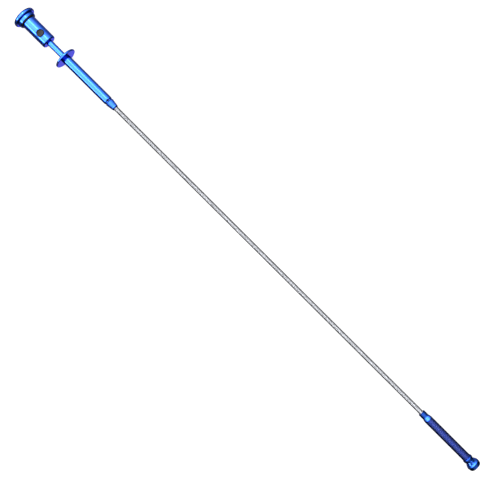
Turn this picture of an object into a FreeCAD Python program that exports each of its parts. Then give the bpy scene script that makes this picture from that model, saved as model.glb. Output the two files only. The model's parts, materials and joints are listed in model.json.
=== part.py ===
"""Flexible magnetic pickup tool with plunger claws and a lamp in its nose.

The tool lies along X: the thumb cap at -X, the magnetic nose at +X.  Its axis is half a
flange above the surface it lies on (Z = 0), and X = 0 is half way along it.  Every piece
is drawn in a frame of its own with the tool's axis as local X, then placed by its station.
"""
import FreeCAD, Part
import Sketcher
import math
import operator
import os
from types import SimpleNamespace

DRIVING_SIZES = [
    ("overall_length", 610.0, "outer face of the cap to the face of the nose"),
    ("cap_diameter", 23.0, "thumb cap over its rim"),
    ("cap_thickness", 3.6, "thumb cap disc"),
    ("cap_rim_front", 1.5, "rounding of the rim towards the thumb"),
    ("cap_rim_back", 0.7, "rounding of the rim towards the barrel"),
    ("cap_dish_depth", 0.4, "hollow in the thumb face"),
    ("cap_dish_diameter", 17.0, "hollow in the thumb face"),
    ("neck_length", 2.9, "cone between the cap disc and the seal"),
    ("neck_front_step", 2.2, "cone at the cap disc, out from the battery body"),
    ("neck_back_step", 1.0, "cone at the seal, out from the battery body"),
    ("seal_step", 1.15, "O-ring, out from the battery body"),
    ("seal_gap", 1.7, "room for the O-ring between the cap and the battery body"),
    ("seal_section", 1.62, "O-ring cord"),
    ("thread_length", 3.0, "cap spigot inside the battery body"),
    ("thread_pitch", 1.0, "advance of the cap in one turn"),
    ("body_wall", 0.7, "battery body"),
    ("body_length", 27.8, "battery body"),
    ("body_end_wall", 2.0, "floor of the battery bay"),
    ("body_end_round", 1.3, "rounding of the lower end"),
    ("cell_diameter", 11.6, "button cell"),
    ("cell_height", 3.05, "button cell"),
    ("cell_gap", 0.02, "between stacked cells"),
    ("liner_wall", 0.45, "insulating tube round the cells"),
    ("liner_room", 0.1, "radial room between the cells and their tube"),
    ("cell_room", 0.2, "between the cap's spigot and the first cell"),
    ("contact_thickness", 0.3, "contact plate below the cells"),
    ("contact_wire", 0.4, "contact spring wire"),
    ("contact_coil_diameter", 5.6, "contact spring over its wire's centre line"),
    ("contact_turns", 2.5, "contact spring"),
    ("button_station", 17.4, "switch button from the upper end of the battery body"),
    ("button_inset", 3.25, "edge of the button, in from the side of the battery body"),
    ("button_lip_step", 0.25, "lip that keeps the button in, out from its edge"),
    ("button_lip", 0.6, "thickness of that lip"),
    ("button_lift", 0.3, "room between the switch and the pressed button"),
    ("button_proud", 0.7, "crown of the button above the battery body"),
    ("button_crown", 0.45, "rise of the button's dome"),
    ("button_travel", 0.6, "press of the button"),
    ("board_thickness", 0.8, "switch board"),
    ("board_length", 8.3, "switch board"),
    ("board_width", 8.6, "switch board"),
    ("board_depth", 1.7, "underside of the board below the axis"),
    ("tact_side", 4.6, "tactile switch, square"),
    ("tact_height", 3.2, "tactile switch"),
    ("stem_bore", 2.6, "wire way through the stem"),
    ("stem_exposed", 20.4, "stem between the battery body and the flange"),
    ("stem_spigot_step", 0.5, "shoulder at the stem end held in the battery body"),
    ("collar_length", 3.0, "stop collar"),
    ("collar_step", 0.8, "shoulder at the stem end held in the stop collar"),
    ("plunger_travel", 16.0, "stroke of the plunger"),
    ("flange_diameter", 23.0, "finger flange"),
    ("flange_thickness", 2.0, "finger flange"),
    ("flange_round", 0.6, "rounding of the flange edge"),
    ("flange_spigot_length", 7.0, "flange spigot inside the barrel"),
    ("flange_spigot_wall", 0.43, "flange spigot inside the barrel"),
    ("gland_wall", 0.38, "nylon bush that guides the stem"),
    ("barrel_diameter", 9.0, "barrel tube"),
    ("barrel_wall", 0.6, "barrel tube"),
    ("barrel_straight", 56.6, "barrel from the flange to its crease"),
    ("barrel_taper", 8.9, "tapered stretch of the barrel"),
    ("barrel_tip_step", 0.85, "barrel at its tip, out from the shaft"),
    ("barrel_tip_round", 1.4, "rolled-in end of the barrel"),
    ("crease_depth", 0.2, "crimped line at the start of the taper"),
    ("crease_width", 0.8, "crimped line at the start of the taper"),
    ("ferrule_head", 8.6, "wide stretch of the ferrule"),
    ("ferrule_nose", 6.0, "narrow stretch of the ferrule"),
    ("ferrule_wall", 0.6, "narrow stretch of the ferrule"),
    ("screw_diameter", 2.3, "grub screw in the barrel"),
    ("screw_length", 0.85, "grub screw in the barrel"),
    ("screw_socket", 1.3, "grub screw key, across flats"),
    ("spring_wire", 0.6, "return spring"),
    ("spring_turns", 13.0, "return spring"),
    ("shaft_diameter", 4.8, "close-wound flexible shaft"),
    ("shaft_wire", 0.8, "wire of the flexible shaft"),
    ("shaft_straight_upper", 30.0, "stiff stretch below the barrel"),
    ("shaft_straight_lower", 10.0, "stiff stretch above the head"),
    ("flex_gap", 1.1, "room between two bending lengths of the shaft"),
    ("cable_diameter", 1.2, "push cable"),
    ("cable_room", 0.5, "between the pushed-in cable and the next length of it"),
    ("lead_diameter", 0.5, "lamp lead"),
    ("lead_offset", 1.0, "lamp lead from the axis"),
    ("core_bore", 2.9, "way for the cable and the leads"),
    ("head_collar_wall", 1.1, "head collar at the shaft"),
    ("head_collar_chamfer", 0.2, "head collar at the shaft"),
    ("head_collar_straight", 5.1, "straight stretch of the head collar"),
    ("head_collar_flare", 4.05, "flared stretch of the head collar"),
    ("head_spigot", 8.0, "head collar inside the sleeve"),
    ("sleeve_diameter", 8.5, "knurled sleeve"),
    ("sleeve_wall", 1.13, "knurled sleeve"),
    ("sleeve_length", 51.85, "knurled sleeve"),
    ("sleeve_thread_step", 0.5, "shoulder at the male end of the sleeve"),
    ("sleeve_thread_length", 4.0, "male end of the sleeve"),
    ("nose_length", 12.1, "nose"),
    ("nose_ring_step", 0.6, "ring at the back of the nose, out from the sleeve"),
    ("nose_ring_length", 2.5, "ring at the back of the nose"),
    ("nose_waist_depth", 0.25, "groove between the ring and the bulb"),
    ("nose_waist_length", 1.4, "groove between the ring and the bulb"),
    ("nose_flare_length", 3.5, "cone that opens into the bulb"),
    ("nose_flare_step", 0.3, "end of the cone, in from the widest place"),
    ("nose_diameter", 13.0, "bulb at its widest"),
    ("nose_belly", 1.8, "from the cone to the widest place"),
    ("nose_belly_radius", 7.2, "roundness of the bulb"),
    ("nose_shoulder_step", 0.15, "where the front edge starts to turn in"),
    ("nose_shoulder", 0.9, "length of the turned-in front edge"),
    ("nose_shoulder_radius", 1.35, "roundness of the turned-in front edge"),
    ("nose_face_step", 0.65, "flat face of the nose, in from the widest place"),
    ("nose_lip", 0.45, "rim of the nose round the magnet"),
    ("nose_throat_step", 0.08, "bore behind the flared mouth, out from the sleeve bore"),
    ("magnet_ring", 1.2, "ring magnet, from its bore to its outside"),
    ("magnet_thickness", 3.0, "ring magnet"),
    ("magnet_bevel", 0.4, "mouth bevel of the magnet"),
    ("carrier_length", 5.0, "claw carrier"),
    ("carrier_slot", 1.0, "depth of the claw slots"),
    ("lamp_seat", 1.0, "depth of the lamp's seat"),
    ("lamp_diameter", 3.0, "lamp"),
    ("lamp_length", 5.0, "lamp"),
    ("claw_wire", 0.8, "claw"),
    ("claw_circle", 4.0, "circle of the claws at rest"),
    ("claw_length", 16.5, "claw from its root to its tip"),
    ("claw_recess", 1.0, "tip of the claw behind the face at rest"),
    ("claw_bend", 0.9, "bend radius of the claw's hook"),
    ("claw_hook", 0.3, "straight end of the hook"),
    ("running_fit", 0.05, "radial room of a sliding fit"),
    ("clearance", 0.1, "room between pieces that pass without guiding each other"),
    ("end_room", 0.2, "room past the end of a piece"),
    ("seat_fit", 0.02, "radial room of pieces that are fixed together"),
]
FLEX_JOINTS = 8
CLAWS = 4
CELLS = 3
FIRST_CLAW_ANGLE = 45.0
CAN_SHARE = 0.85
POLE_SHARE = 0.8
LEFT, RIGHT = -1, 1
TURN = 360.0
TO_TOOL_AXIS = FreeCAD.Rotation(FreeCAD.Vector(0, 1, 0), 90)


class Size:
    """A length that keeps its value and the spreadsheet expression behind it."""

    def __init__(self, value, text):
        self.value = value
        self.text = text

    def joined(self, sign, operation, other):
        """This size and another one, or a plain number, under one sign."""
        other = other if isinstance(other, Size) else Size(float(other), repr(other))
        result = operation(self.value, other.value)
        return Size(result, f"({self.text} {sign} {other.text})")

    def __add__(self, other):
        return self.joined("+", operator.add, other)

    def __sub__(self, other):
        return self.joined("-", operator.sub, other)

    def __mul__(self, other):
        return self.joined("*", operator.mul, other)

    def __truediv__(self, other):
        return self.joined("/", operator.truediv, other)


def larger(one, other):
    """The larger of two sizes."""
    return Size(max(one.value, other.value), f"max({one.text}; {other.text})")


def make_sheet(doc):
    """The spreadsheet of driving sizes, and each size by its alias."""
    sheet = doc.addObject("Spreadsheet::Sheet", "Sizes")
    for row, (alias, value, meaning) in enumerate(DRIVING_SIZES, start=1):
        sheet.set(f"A{row}", meaning)
        sheet.set(f"B{row}", str(value))
        sheet.setAlias(f"B{row}", alias)
    doc.recompute()
    return SimpleNamespace(**{
        alias: Size(float(sheet.get(alias)), f"Sizes.{alias}") for alias, _, _ in DRIVING_SIZES})


def add_diameters(size):
    """Diameters that follow from other ones through a wall, a step or a fit."""
    bay_room = (size.liner_room + size.liner_wall + size.running_fit) * 2
    size.body_bore = size.cell_diameter + bay_room
    size.body_diameter = size.body_bore + size.body_wall * 2
    size.button_diameter = size.body_diameter - size.button_inset * 2
    size.button_flange_diameter = size.button_diameter + size.button_lip_step * 2
    size.neck_front_diameter = size.body_diameter + size.neck_front_step * 2
    size.neck_back_diameter = size.body_diameter + size.neck_back_step * 2
    size.seal_diameter = size.body_diameter + size.seal_step * 2
    size.barrel_bore = size.barrel_diameter - size.barrel_wall * 2
    guide = size.seat_fit * 2 + size.flange_spigot_wall + size.gland_wall + size.running_fit
    size.stem_diameter = size.barrel_bore - guide * 2
    size.stem_spigot_diameter = size.stem_diameter - size.stem_spigot_step * 2
    size.collar_thread_diameter = size.stem_diameter - size.collar_step * 2
    size.barrel_tip_diameter = size.shaft_diameter + size.barrel_tip_step * 2
    size.ferrule_nose_diameter = size.shaft_diameter + size.ferrule_wall * 2
    size.head_collar_diameter = size.shaft_diameter + size.head_collar_wall * 2
    size.sleeve_bore = size.sleeve_diameter - size.sleeve_wall * 2
    size.sleeve_thread_diameter = size.sleeve_diameter - size.sleeve_thread_step * 2
    size.nose_ring_diameter = size.sleeve_diameter + size.nose_ring_step * 2
    size.nose_waist_diameter = size.nose_ring_diameter - size.nose_waist_depth * 2
    size.nose_flare_diameter = size.nose_diameter - size.nose_flare_step * 2
    size.nose_shoulder_diameter = size.nose_diameter - size.nose_shoulder_step * 2
    size.nose_face_diameter = size.nose_diameter - size.nose_face_step * 2
    size.magnet_diameter = size.nose_face_diameter - size.nose_lip * 2
    size.magnet_bore = size.magnet_diameter - size.magnet_ring * 2
    size.nose_throat = size.sleeve_bore + size.nose_throat_step * 2


def make_stations(size):
    """Where each sub-assembly starts along X, and the height of the tool's axis."""
    cap = size.overall_length / -2
    body = cap + size.cap_thickness + size.neck_length + size.seal_gap
    flange = body + size.body_length + size.stem_exposed
    barrel = flange + size.flange_thickness
    crease = barrel + size.barrel_straight
    tip = crease + size.barrel_taper + size.barrel_tip_round
    nose = size.overall_length / 2 - size.nose_length
    sleeve = nose - size.sleeve_length
    head = sleeve - size.head_collar_straight - size.head_collar_flare
    claw_root = size.overall_length / 2 - size.claw_recess - size.claw_length
    first_bend = tip + size.shaft_straight_upper
    last_bend = head - size.shaft_straight_lower
    bend_step = (last_bend - first_bend) / (FLEX_JOINTS - 1)
    return SimpleNamespace(
        cap=cap, body=body, flange=flange, barrel=barrel, crease=crease, tip=tip, head=head,
        sleeve=sleeve, nose=nose, claw_root=claw_root,
        axis_height=larger(size.flange_diameter, size.cap_diameter) / 2,
        ferrule=crease - size.ferrule_head - size.ferrule_nose / 2,
        carrier=claw_root + size.claw_wire / 2 + size.clearance - size.carrier_length,
        bends=[first_bend + bend_step * number for number in range(FLEX_JOINTS)])


def origin_item(body, role):
    """One of a body's own origin planes or axes, by its role."""
    return next(item for item in body.Origin.OriginFeatures if item.Role == role)


def new_sketch(body, name, role, lift=None):
    """A sketch on one of the body's origin planes, lifted off it if a size is given."""
    sketch = body.newObject("Sketcher::SketchObject", name)
    sketch.AttachmentSupport = (origin_item(body, role), [""])
    sketch.MapMode = "FlatFace"
    if lift is not None:
        sketch.setExpression("AttachmentOffset.Base.z", lift.text)
    return sketch


def fix_point(sketch, geometry, end, x, y):
    """Hold one end of a sketch line or arc at two sizes."""
    for axis, kind, place in ((-2, "DistanceX", x), (-1, "DistanceY", y)):
        if place is None:
            sketch.addConstraint(Sketcher.Constraint("PointOnObject", geometry, end, axis))
        else:
            index = sketch.addConstraint(
                Sketcher.Constraint(kind, -1, 1, geometry, end, place.value))
            sketch.setExpression(f"Constraints[{index}]", place.text)


def arc_between(start, end, radius):
    """A short arc between two points, bulging left of the way if the radius is negative."""
    chord = end - start
    height = math.sqrt(max(radius * radius - chord.Length ** 2 / 4, 0.0))
    side = FreeCAD.Vector(-chord.y, chord.x, 0).normalize()
    centre = (start + end) / 2 + side * math.copysign(height, radius)
    angles = [math.atan2(point.y - centre.y, point.x - centre.x) for point in (start, end)]
    first, last = angles if radius > 0 else reversed(angles)
    circle = Part.Circle(centre, FreeCAD.Vector(0, 0, 1), abs(radius))
    return Part.ArcOfCircle(circle, first, last)


def draw_outline(sketch, corners):
    """A closed outline in a sketch, each corner held by its own sizes.

    A corner is (x, y), or (x, y, (radius, side)) where the edge that leads on from it is an
    arc that bulges to that side of the way.  A coordinate of None lies on the sketch's axis.
    """
    points = [FreeCAD.Vector(*(0.0 if place is None else place.value for place in corner[:2]), 0)
              for corner in corners]
    starts = []
    for number, corner in enumerate(corners):
        after = points[(number + 1) % len(points)]
        if len(corner) == 2:
            edge = Part.LineSegment(points[number], after)
            starts.append((sketch.addGeometry(edge, False), 1, 2))
            continue
        bulge, side = corner[2]
        edge = arc_between(points[number], after, side * bulge.value)
        index = sketch.addGeometry(edge, False)
        starts.append((index, 1, 2) if side == RIGHT else (index, 2, 1))
        constraint = sketch.addConstraint(Sketcher.Constraint("Radius", index, bulge.value))
        sketch.setExpression(f"Constraints[{constraint}]", bulge.text)
    for number, corner in enumerate(corners):
        edge, start, _ = starts[number]
        before, _, end = starts[number - 1]
        sketch.addConstraint(Sketcher.Constraint("Coincident", before, end, edge, start))
        fix_point(sketch, edge, start, corner[0], corner[1])


def place(item, station, height, rotation=None):
    """Put a piece at its station on the tool's axis."""
    if rotation is not None:
        item.Placement.Rotation = rotation
    item.setExpression("Placement.Base.x", station.text)
    item.setExpression("Placement.Base.z", height.text)


def turned(doc, label, corners, station, height, axis="H_Axis"):
    """A body turned about its sketch's axis from half an outline."""
    body = doc.addObject("PartDesign::Body", label)
    sketch = new_sketch(body, label + "_outline", "XZ_Plane")
    draw_outline(sketch, corners)
    revolution = body.newObject("PartDesign::Revolution", label + "_turned")
    revolution.Profile = sketch
    revolution.ReferenceAxis = (sketch, [axis])
    revolution.Angle = TURN
    sketch.Visibility = False
    place(body, station, height)
    doc.recompute()
    return body


def cut(doc, body, sketch, reversed_way, length=None):
    """A pocket from a sketch; it has to take material away."""
    before = body.Shape.Volume
    pocket = body.newObject("PartDesign::Pocket", sketch.Name + "_cut")
    pocket.Profile = sketch
    pocket.Reversed = reversed_way
    if length is None:
        pocket.Type = "ThroughAll"
    else:
        pocket.setExpression("Length", length.text)
    doc.recompute()
    if not body.Shape.Volume < before:
        raise RuntimeError(f"{sketch.Name} cuts nothing")
    return pocket


def circle_in(sketch, x, y, radius):
    """A circle in a sketch at two sizes; a coordinate of None lies on the axis."""
    centre = FreeCAD.Vector(x.value if x else 0.0, y.value if y else 0.0, 0)
    index = sketch.addGeometry(Part.Circle(centre, FreeCAD.Vector(0, 0, 1), radius.value), False)
    fix_point(sketch, index, 3, x, y)
    constraint = sketch.addConstraint(Sketcher.Constraint("Radius", index, radius.value))
    sketch.setExpression(f"Constraints[{constraint}]", radius.text)


def rod(doc, label, radius, station, length, height):
    """A plain cylinder along the tool's axis."""
    cylinder = doc.addObject("Part::Cylinder", label)
    cylinder.setExpression("Radius", radius.text)
    cylinder.setExpression("Height", length.text)
    place(cylinder, station, height, TO_TOOL_AXIS)
    return cylinder


def tube(doc, label, bore, diameter, station, length, height):
    """A plain tube along the tool's axis."""
    start, end = None, length
    corners = [(start, bore / 2), (start, diameter / 2), (end, diameter / 2), (end, bore / 2)]
    return turned(doc, label, corners, station, height)


def wound(doc, label, wire, coil_radius, turns, station, length, height):
    """A helical spring along the tool's axis, swept from a round wire."""
    helix = doc.addObject("Part::Helix", label + "_path")
    rise = length - wire
    helix.setExpression("Radius", coil_radius.text)
    helix.setExpression("Height", rise.text)
    helix.setExpression("Pitch", (rise / turns).text)
    section = doc.addObject("Part::Circle", label + "_section")
    section.setExpression("Radius", (wire / 2).text)
    section.Placement.Rotation = FreeCAD.Rotation(FreeCAD.Vector(1, 0, 0), 90)
    section.setExpression("Placement.Base.x", coil_radius.text)
    doc.recompute()
    sweep = doc.addObject("Part::Sweep", label)
    sweep.Sections = [section]
    sweep.Spine = (helix, ["Edge1"])
    sweep.Solid = True
    sweep.Frenet = True
    place(sweep, station + wire / 2, height, TO_TOOL_AXIS)
    doc.recompute()
    return sweep


def group(doc, label, solids, station, height):
    """Several separate solids that share one node."""
    feature = doc.addObject("Part::Feature", label)
    feature.Shape = Part.makeCompound(solids)
    place(feature, station, height)
    return feature


def lead_pair(doc, label, size, station, length, height):
    """The two lamp leads side by side, along the tool's axis."""
    solids = [
        Part.makeCylinder(size.lead_diameter.value / 2, length.value,
                          FreeCAD.Vector(0, side * size.lead_offset.value, 0),
                          FreeCAD.Vector(1, 0, 0))
        for side in (-1, 1)]
    return group(doc, label, solids, station, height)


def make_thumb_cap(doc, size, at):
    """The screw cap: dished disc, cone, and a spigot that holds the contact spring."""
    rim = size.cap_diameter / 2
    disc, neck = size.cap_thickness, size.cap_thickness + size.neck_length
    spigot = size.body_bore / 2 - size.clearance
    end = neck + size.seal_gap + size.thread_length
    pocket = size.contact_coil_diameter / 2 + size.contact_wire
    corners = [
        (size.cap_dish_depth, None),
        (None, size.cap_dish_diameter / 2),
        (None, rim - size.cap_rim_front, (size.cap_rim_front, LEFT)),
        (size.cap_rim_front, rim),
        (disc - size.cap_rim_back, rim, (size.cap_rim_back, LEFT)),
        (disc, rim - size.cap_rim_back),
        (disc, size.neck_front_diameter / 2),
        (neck, size.neck_back_diameter / 2),
        (neck, spigot),
        (end, spigot),
        (end, pocket),
        (end - size.thread_length, pocket),
        (end - size.thread_length, None)]
    return turned(doc, "thumb_cap", corners, at.cap, at.axis_height)


def make_cap_seal(doc, size, at):
    """The O-ring between the cap and the battery body."""
    ring = doc.addObject("Part::Torus", "cap_seal")
    ring.setExpression("Radius1", ((size.seal_diameter - size.seal_section) / 2).text)
    ring.setExpression("Radius2", (size.seal_section / 2).text)
    place(ring, at.body - size.seal_gap / 2, at.axis_height, TO_TOOL_AXIS)
    return ring


def make_battery_body(doc, size, at):
    """The battery tube with its rounded end and the hole for the button."""
    outer, bore = size.body_diameter / 2, size.body_bore / 2
    seat = size.stem_spigot_diameter / 2
    end, floor = size.body_length, size.body_length - size.body_end_wall
    corners = [
        (None, bore), (None, outer),
        (end - size.body_end_round, outer, (size.body_end_round, LEFT)),
        (end, outer - size.body_end_round),
        (end, seat), (floor, seat), (floor, bore)]
    body = turned(doc, "battery_body", corners, at.body, at.axis_height)
    sketch = new_sketch(body, "button_hole", "XY_Plane")
    circle_in(sketch, size.button_station, None, size.button_diameter / 2 + size.clearance)
    cut(doc, body, sketch, True)
    return body


def make_cells(doc, size, at, first):
    """The stack of button cells, each a can with a smaller pole."""
    radius, step = size.cell_diameter.value / 2, size.cell_height.value
    solids = []
    for number in range(CELLS):
        foot = FreeCAD.Vector(number * (step + size.cell_gap.value), 0, 0)
        pole = Part.makeCylinder(radius * POLE_SHARE, step, foot, FreeCAD.Vector(1, 0, 0))
        rise = FreeCAD.Vector(step * (1 - CAN_SHARE), 0, 0)
        can = Part.makeCylinder(radius, step * CAN_SHARE, foot + rise, FreeCAD.Vector(1, 0, 0))
        solids.append(pole.fuse(can).removeSplitter())
    return group(doc, "button_cells", solids, first, at.axis_height)


def make_switch_holder(doc, size, at, start, length):
    """The moulded plug that carries the switch board under the button."""
    radius = size.body_bore / 2 - size.running_fit
    wire_way = size.stem_bore / 2
    corners = [(None, wire_way), (None, radius), (length, radius), (length, wire_way)]
    body = turned(doc, "switch_holder", corners, start, at.axis_height)
    centre = at.body + size.button_station - start
    half_length = size.board_length / 2 + size.clearance
    half_width = size.board_width / 2 + size.clearance
    sketch = new_sketch(body, "switch_well", "XY_Plane", size.board_depth * -1)
    rectangle_in(sketch, centre - half_length, centre + half_length, half_width)
    cut(doc, body, sketch, True)
    return body


def rectangle_in(sketch, left, right, half_width):
    """A rectangle across the sketch's X axis, from one X to another."""
    low, high = -half_width.value, half_width.value
    corners = [FreeCAD.Vector(left.value, low, 0), FreeCAD.Vector(right.value, low, 0),
               FreeCAD.Vector(right.value, high, 0), FreeCAD.Vector(left.value, high, 0)]
    edges = [sketch.addGeometry(Part.LineSegment(corners[n], corners[(n + 1) % 4]), False)
             for n in range(4)]
    for number in range(4):
        sketch.addConstraint(Sketcher.Constraint(
            "Coincident", edges[number], 2, edges[(number + 1) % 4], 1))
    for edge, kind in zip(edges, ("Horizontal", "Vertical", "Horizontal", "Vertical")):
        sketch.addConstraint(Sketcher.Constraint(kind, edge))
    held = ((edges[0], "DistanceX", left), (edges[2], "DistanceX", right),
            (edges[2], "DistanceY", half_width))
    for edge, kind, value in held:
        index = sketch.addConstraint(Sketcher.Constraint(kind, -1, 1, edge, 1, value.value))
        sketch.setExpression(f"Constraints[{index}]", value.text)
    index = sketch.addConstraint(
        Sketcher.Constraint("DistanceY", edges[0], 1, -1, 1, half_width.value))
    sketch.setExpression(f"Constraints[{index}]", half_width.text)


def make_block(doc, label, length, width, tall, centre, foot):
    """A plain block on the tool's middle plane, from a height upwards."""
    box = doc.addObject("Part::Box", label)
    for name, value in (("Length", length), ("Width", width), ("Height", tall)):
        box.setExpression(name, value.text)
    for name, value in (("x", centre - length / 2), ("y", width / -2), ("z", foot)):
        box.setExpression(f"Placement.Base.{name}", value.text)
    return box


def make_switch_button(doc, size, at):
    """The rubber button: a lip inside the tube and a domed crown outside."""
    radius, lip = size.button_diameter / 2, size.button_flange_diameter / 2
    switch_top = size.tact_height + size.board_thickness - size.board_depth
    foot = switch_top + size.button_travel + size.button_lift
    lip_top = foot + size.button_lip
    crown = size.body_diameter / 2 + size.button_proud
    edge = crown - size.button_crown
    dome = (radius * radius + size.button_crown * size.button_crown) / (size.button_crown * 2)
    corners = [
        (None, foot), (lip, foot), (lip, lip_top), (radius, lip_top),
        (radius, edge, (dome, RIGHT)), (None, crown)]
    return turned(doc, "switch_button", corners, at.body + size.button_station,
                  at.axis_height, axis="V_Axis")


def make_battery_group(doc, size, at):
    """Everything inside the battery body, from the contact spring to the switch."""
    height = at.axis_height
    spigot_end = at.body + size.thread_length
    first_cell = spigot_end + size.cell_room
    stack = (size.cell_height + size.cell_gap) * CELLS
    plate = first_cell + stack
    holder = plate + size.contact_thickness + size.running_fit
    bay_end = at.body + size.body_length - size.body_end_wall
    make_cells(doc, size, at, first_cell)
    liner_outer = size.body_bore - size.running_fit * 2
    tube(doc, "cell_liner", liner_outer - size.liner_wall * 2, liner_outer,
         first_cell, stack - size.clearance, height)
    spring_start = spigot_end - size.thread_length + size.running_fit
    wound(doc, "contact_spring", size.contact_wire, size.contact_coil_diameter / 2,
          size.contact_turns, spring_start, first_cell - spring_start - size.running_fit, height)
    rod(doc, "contact_plate", size.cell_diameter / 2, plate, size.contact_thickness, height)
    make_switch_holder(doc, size, at, holder, bay_end - holder - size.running_fit)
    centre = at.body + size.button_station
    board_foot = height - size.board_depth
    make_block(doc, "switch_board", size.board_length, size.board_width,
               size.board_thickness, centre, board_foot)
    make_block(doc, "tact_switch", size.tact_side, size.tact_side, size.tact_height, centre,
               board_foot + size.board_thickness)
    make_switch_button(doc, size, at)


def make_plunger(doc, size, at):
    """The stem, the stop collar on its end, and what runs through them."""
    height, wire_way = at.axis_height, size.stem_bore / 2
    spigot = size.stem_spigot_diameter / 2 - size.seat_fit
    shaft, thread = size.stem_diameter / 2, size.collar_thread_diameter / 2
    foot = at.body + size.body_length - size.body_end_wall
    guided = size.stem_exposed + size.flange_thickness + size.flange_spigot_length
    shoulder = size.body_end_wall + guided + size.clearance
    end = shoulder + size.collar_length
    corners = [
        (None, wire_way), (None, spigot), (size.body_end_wall, spigot),
        (size.body_end_wall, shaft), (shoulder, shaft), (shoulder, thread), (end, thread),
        (end, wire_way)]
    turned(doc, "plunger_stem", corners, foot, height)
    collar_outer = size.barrel_bore - size.clearance * 2
    tube(doc, "stop_collar", size.collar_thread_diameter + size.seat_fit * 2, collar_outer,
         foot + shoulder, size.collar_length, height)
    grip = foot + shoulder - size.collar_length
    cable_end = at.tip + size.barrel_tip_round
    rod(doc, "push_cable_handle", size.cable_diameter / 2, grip, cable_end - grip, height)
    leads = at.body + size.button_station + size.board_length / 2 + size.clearance
    lead_pair(doc, "handle_leads", size, leads, foot + end - leads, height)
    return foot + end, cable_end


def make_finger_flange(doc, size, at):
    """The thin disc under the fingers, with the spigot that fixes it in the barrel."""
    rim, thick, edge = size.flange_diameter / 2, size.flange_thickness, size.flange_round
    seat = size.stem_diameter / 2 + size.running_fit + size.gland_wall + size.seat_fit
    spigot = size.barrel_bore / 2 - size.seat_fit
    end = thick + size.flange_spigot_length
    corners = [
        (None, seat), (None, rim - edge, (edge, LEFT)), (edge, rim),
        (thick - edge, rim, (edge, LEFT)), (thick, rim - edge), (thick, spigot),
        (end, spigot), (end, seat)]
    turned(doc, "finger_flange", corners, at.flange, at.axis_height)
    bore = size.stem_diameter + size.running_fit * 2
    tube(doc, "gland_bush", bore, bore + size.gland_wall * 2, at.flange, end, at.axis_height)


def make_barrel(doc, size, at):
    """The barrel tube: straight, creased, tapered and rolled in at its tip."""
    outer, bore, tip = size.barrel_diameter / 2, size.barrel_bore / 2, size.barrel_tip_diameter / 2
    crease, half_crease = size.barrel_straight, size.crease_width / 2
    taper_end = crease + size.barrel_taper
    end = taper_end + size.barrel_tip_round
    passage = size.shaft_diameter / 2 + size.clearance
    nose_seat = size.ferrule_nose_diameter / 2 + size.seat_fit
    head_end = at.ferrule + size.ferrule_head + size.seat_fit - at.barrel
    nose_end = head_end + size.ferrule_nose
    corners = [
        (None, bore), (None, outer),
        (crease - half_crease, outer), (crease, outer - size.crease_depth),
        (crease + half_crease, outer - size.crease_depth / 2),
        (taper_end, tip), (end, passage + (tip - passage) / 2), (end, passage),
        (nose_end, passage), (nose_end, nose_seat), (head_end, nose_seat), (head_end, bore)]
    body = turned(doc, "barrel_tube", corners, at.barrel, at.axis_height)
    sketch = new_sketch(body, "screw_hole", "XY_Plane")
    circle_in(sketch, crease, None, size.screw_diameter / 2 + size.seat_fit)
    cut(doc, body, sketch, True)
    return body


def make_ferrule(doc, size, at):
    """The brass ferrule that holds the top of the flexible shaft in the barrel."""
    head, nose = size.barrel_bore / 2 - size.seat_fit, size.ferrule_nose_diameter / 2
    socket, way = size.shaft_diameter / 2 + size.seat_fit, size.core_bore / 2
    lip = size.shaft_wire * 2
    end = size.ferrule_head + size.ferrule_nose
    corners = [
        (None, way), (None, head), (size.ferrule_head, head), (size.ferrule_head, nose),
        (end, nose), (end, socket), (lip, socket), (lip, way)]
    turned(doc, "shaft_ferrule", corners, at.ferrule, at.axis_height)
    return at.ferrule + lip


def make_grub_screw(doc, size, at):
    """The grub screw in the crease, over the ferrule, with its key socket."""
    foot = size.ferrule_nose_diameter / 2 + size.seat_fit
    radius, top = size.screw_diameter / 2, foot + size.screw_length
    corners = [(None, foot), (radius, foot), (radius, top), (None, top)]
    body = turned(doc, "grub_screw", corners, at.crease, at.axis_height, axis="V_Axis")
    socket_floor = foot + size.screw_length / 2
    sketch = new_sketch(body, "key_socket", "XY_Plane", socket_floor)
    hexagon_in(sketch, size.screw_socket)
    cut(doc, body, sketch, True)
    return body


def hexagon_in(sketch, flats):
    """A hexagon about the sketch's origin, by its width across flats."""
    reach = flats.value / math.sqrt(3)
    turn = math.radians(TURN / 6)
    points = [FreeCAD.Vector(reach * math.cos(turn * n), reach * math.sin(turn * n), 0)
              for n in range(6)]
    edges = [sketch.addGeometry(Part.LineSegment(points[n], points[(n + 1) % 6]), False)
             for n in range(6)]
    ring = sketch.addGeometry(
        Part.Circle(FreeCAD.Vector(), FreeCAD.Vector(0, 0, 1), reach), True)
    sketch.addConstraint(Sketcher.Constraint("Coincident", ring, 3, -1, 1))
    for number in range(6):
        following = edges[(number + 1) % 6]
        sketch.addConstraint(Sketcher.Constraint("Coincident", edges[number], 2, following, 1))
        sketch.addConstraint(Sketcher.Constraint("PointOnObject", edges[number], 1, ring))
        if number:
            sketch.addConstraint(Sketcher.Constraint("Equal", edges[0], edges[number]))
    sketch.addConstraint(Sketcher.Constraint("PointOnObject", edges[0], 1, -1))
    index = sketch.addConstraint(Sketcher.Constraint("Radius", ring, reach))
    sketch.setExpression(f"Constraints[{index}]", f"{flats.text} / sqrt(3)")


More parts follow.
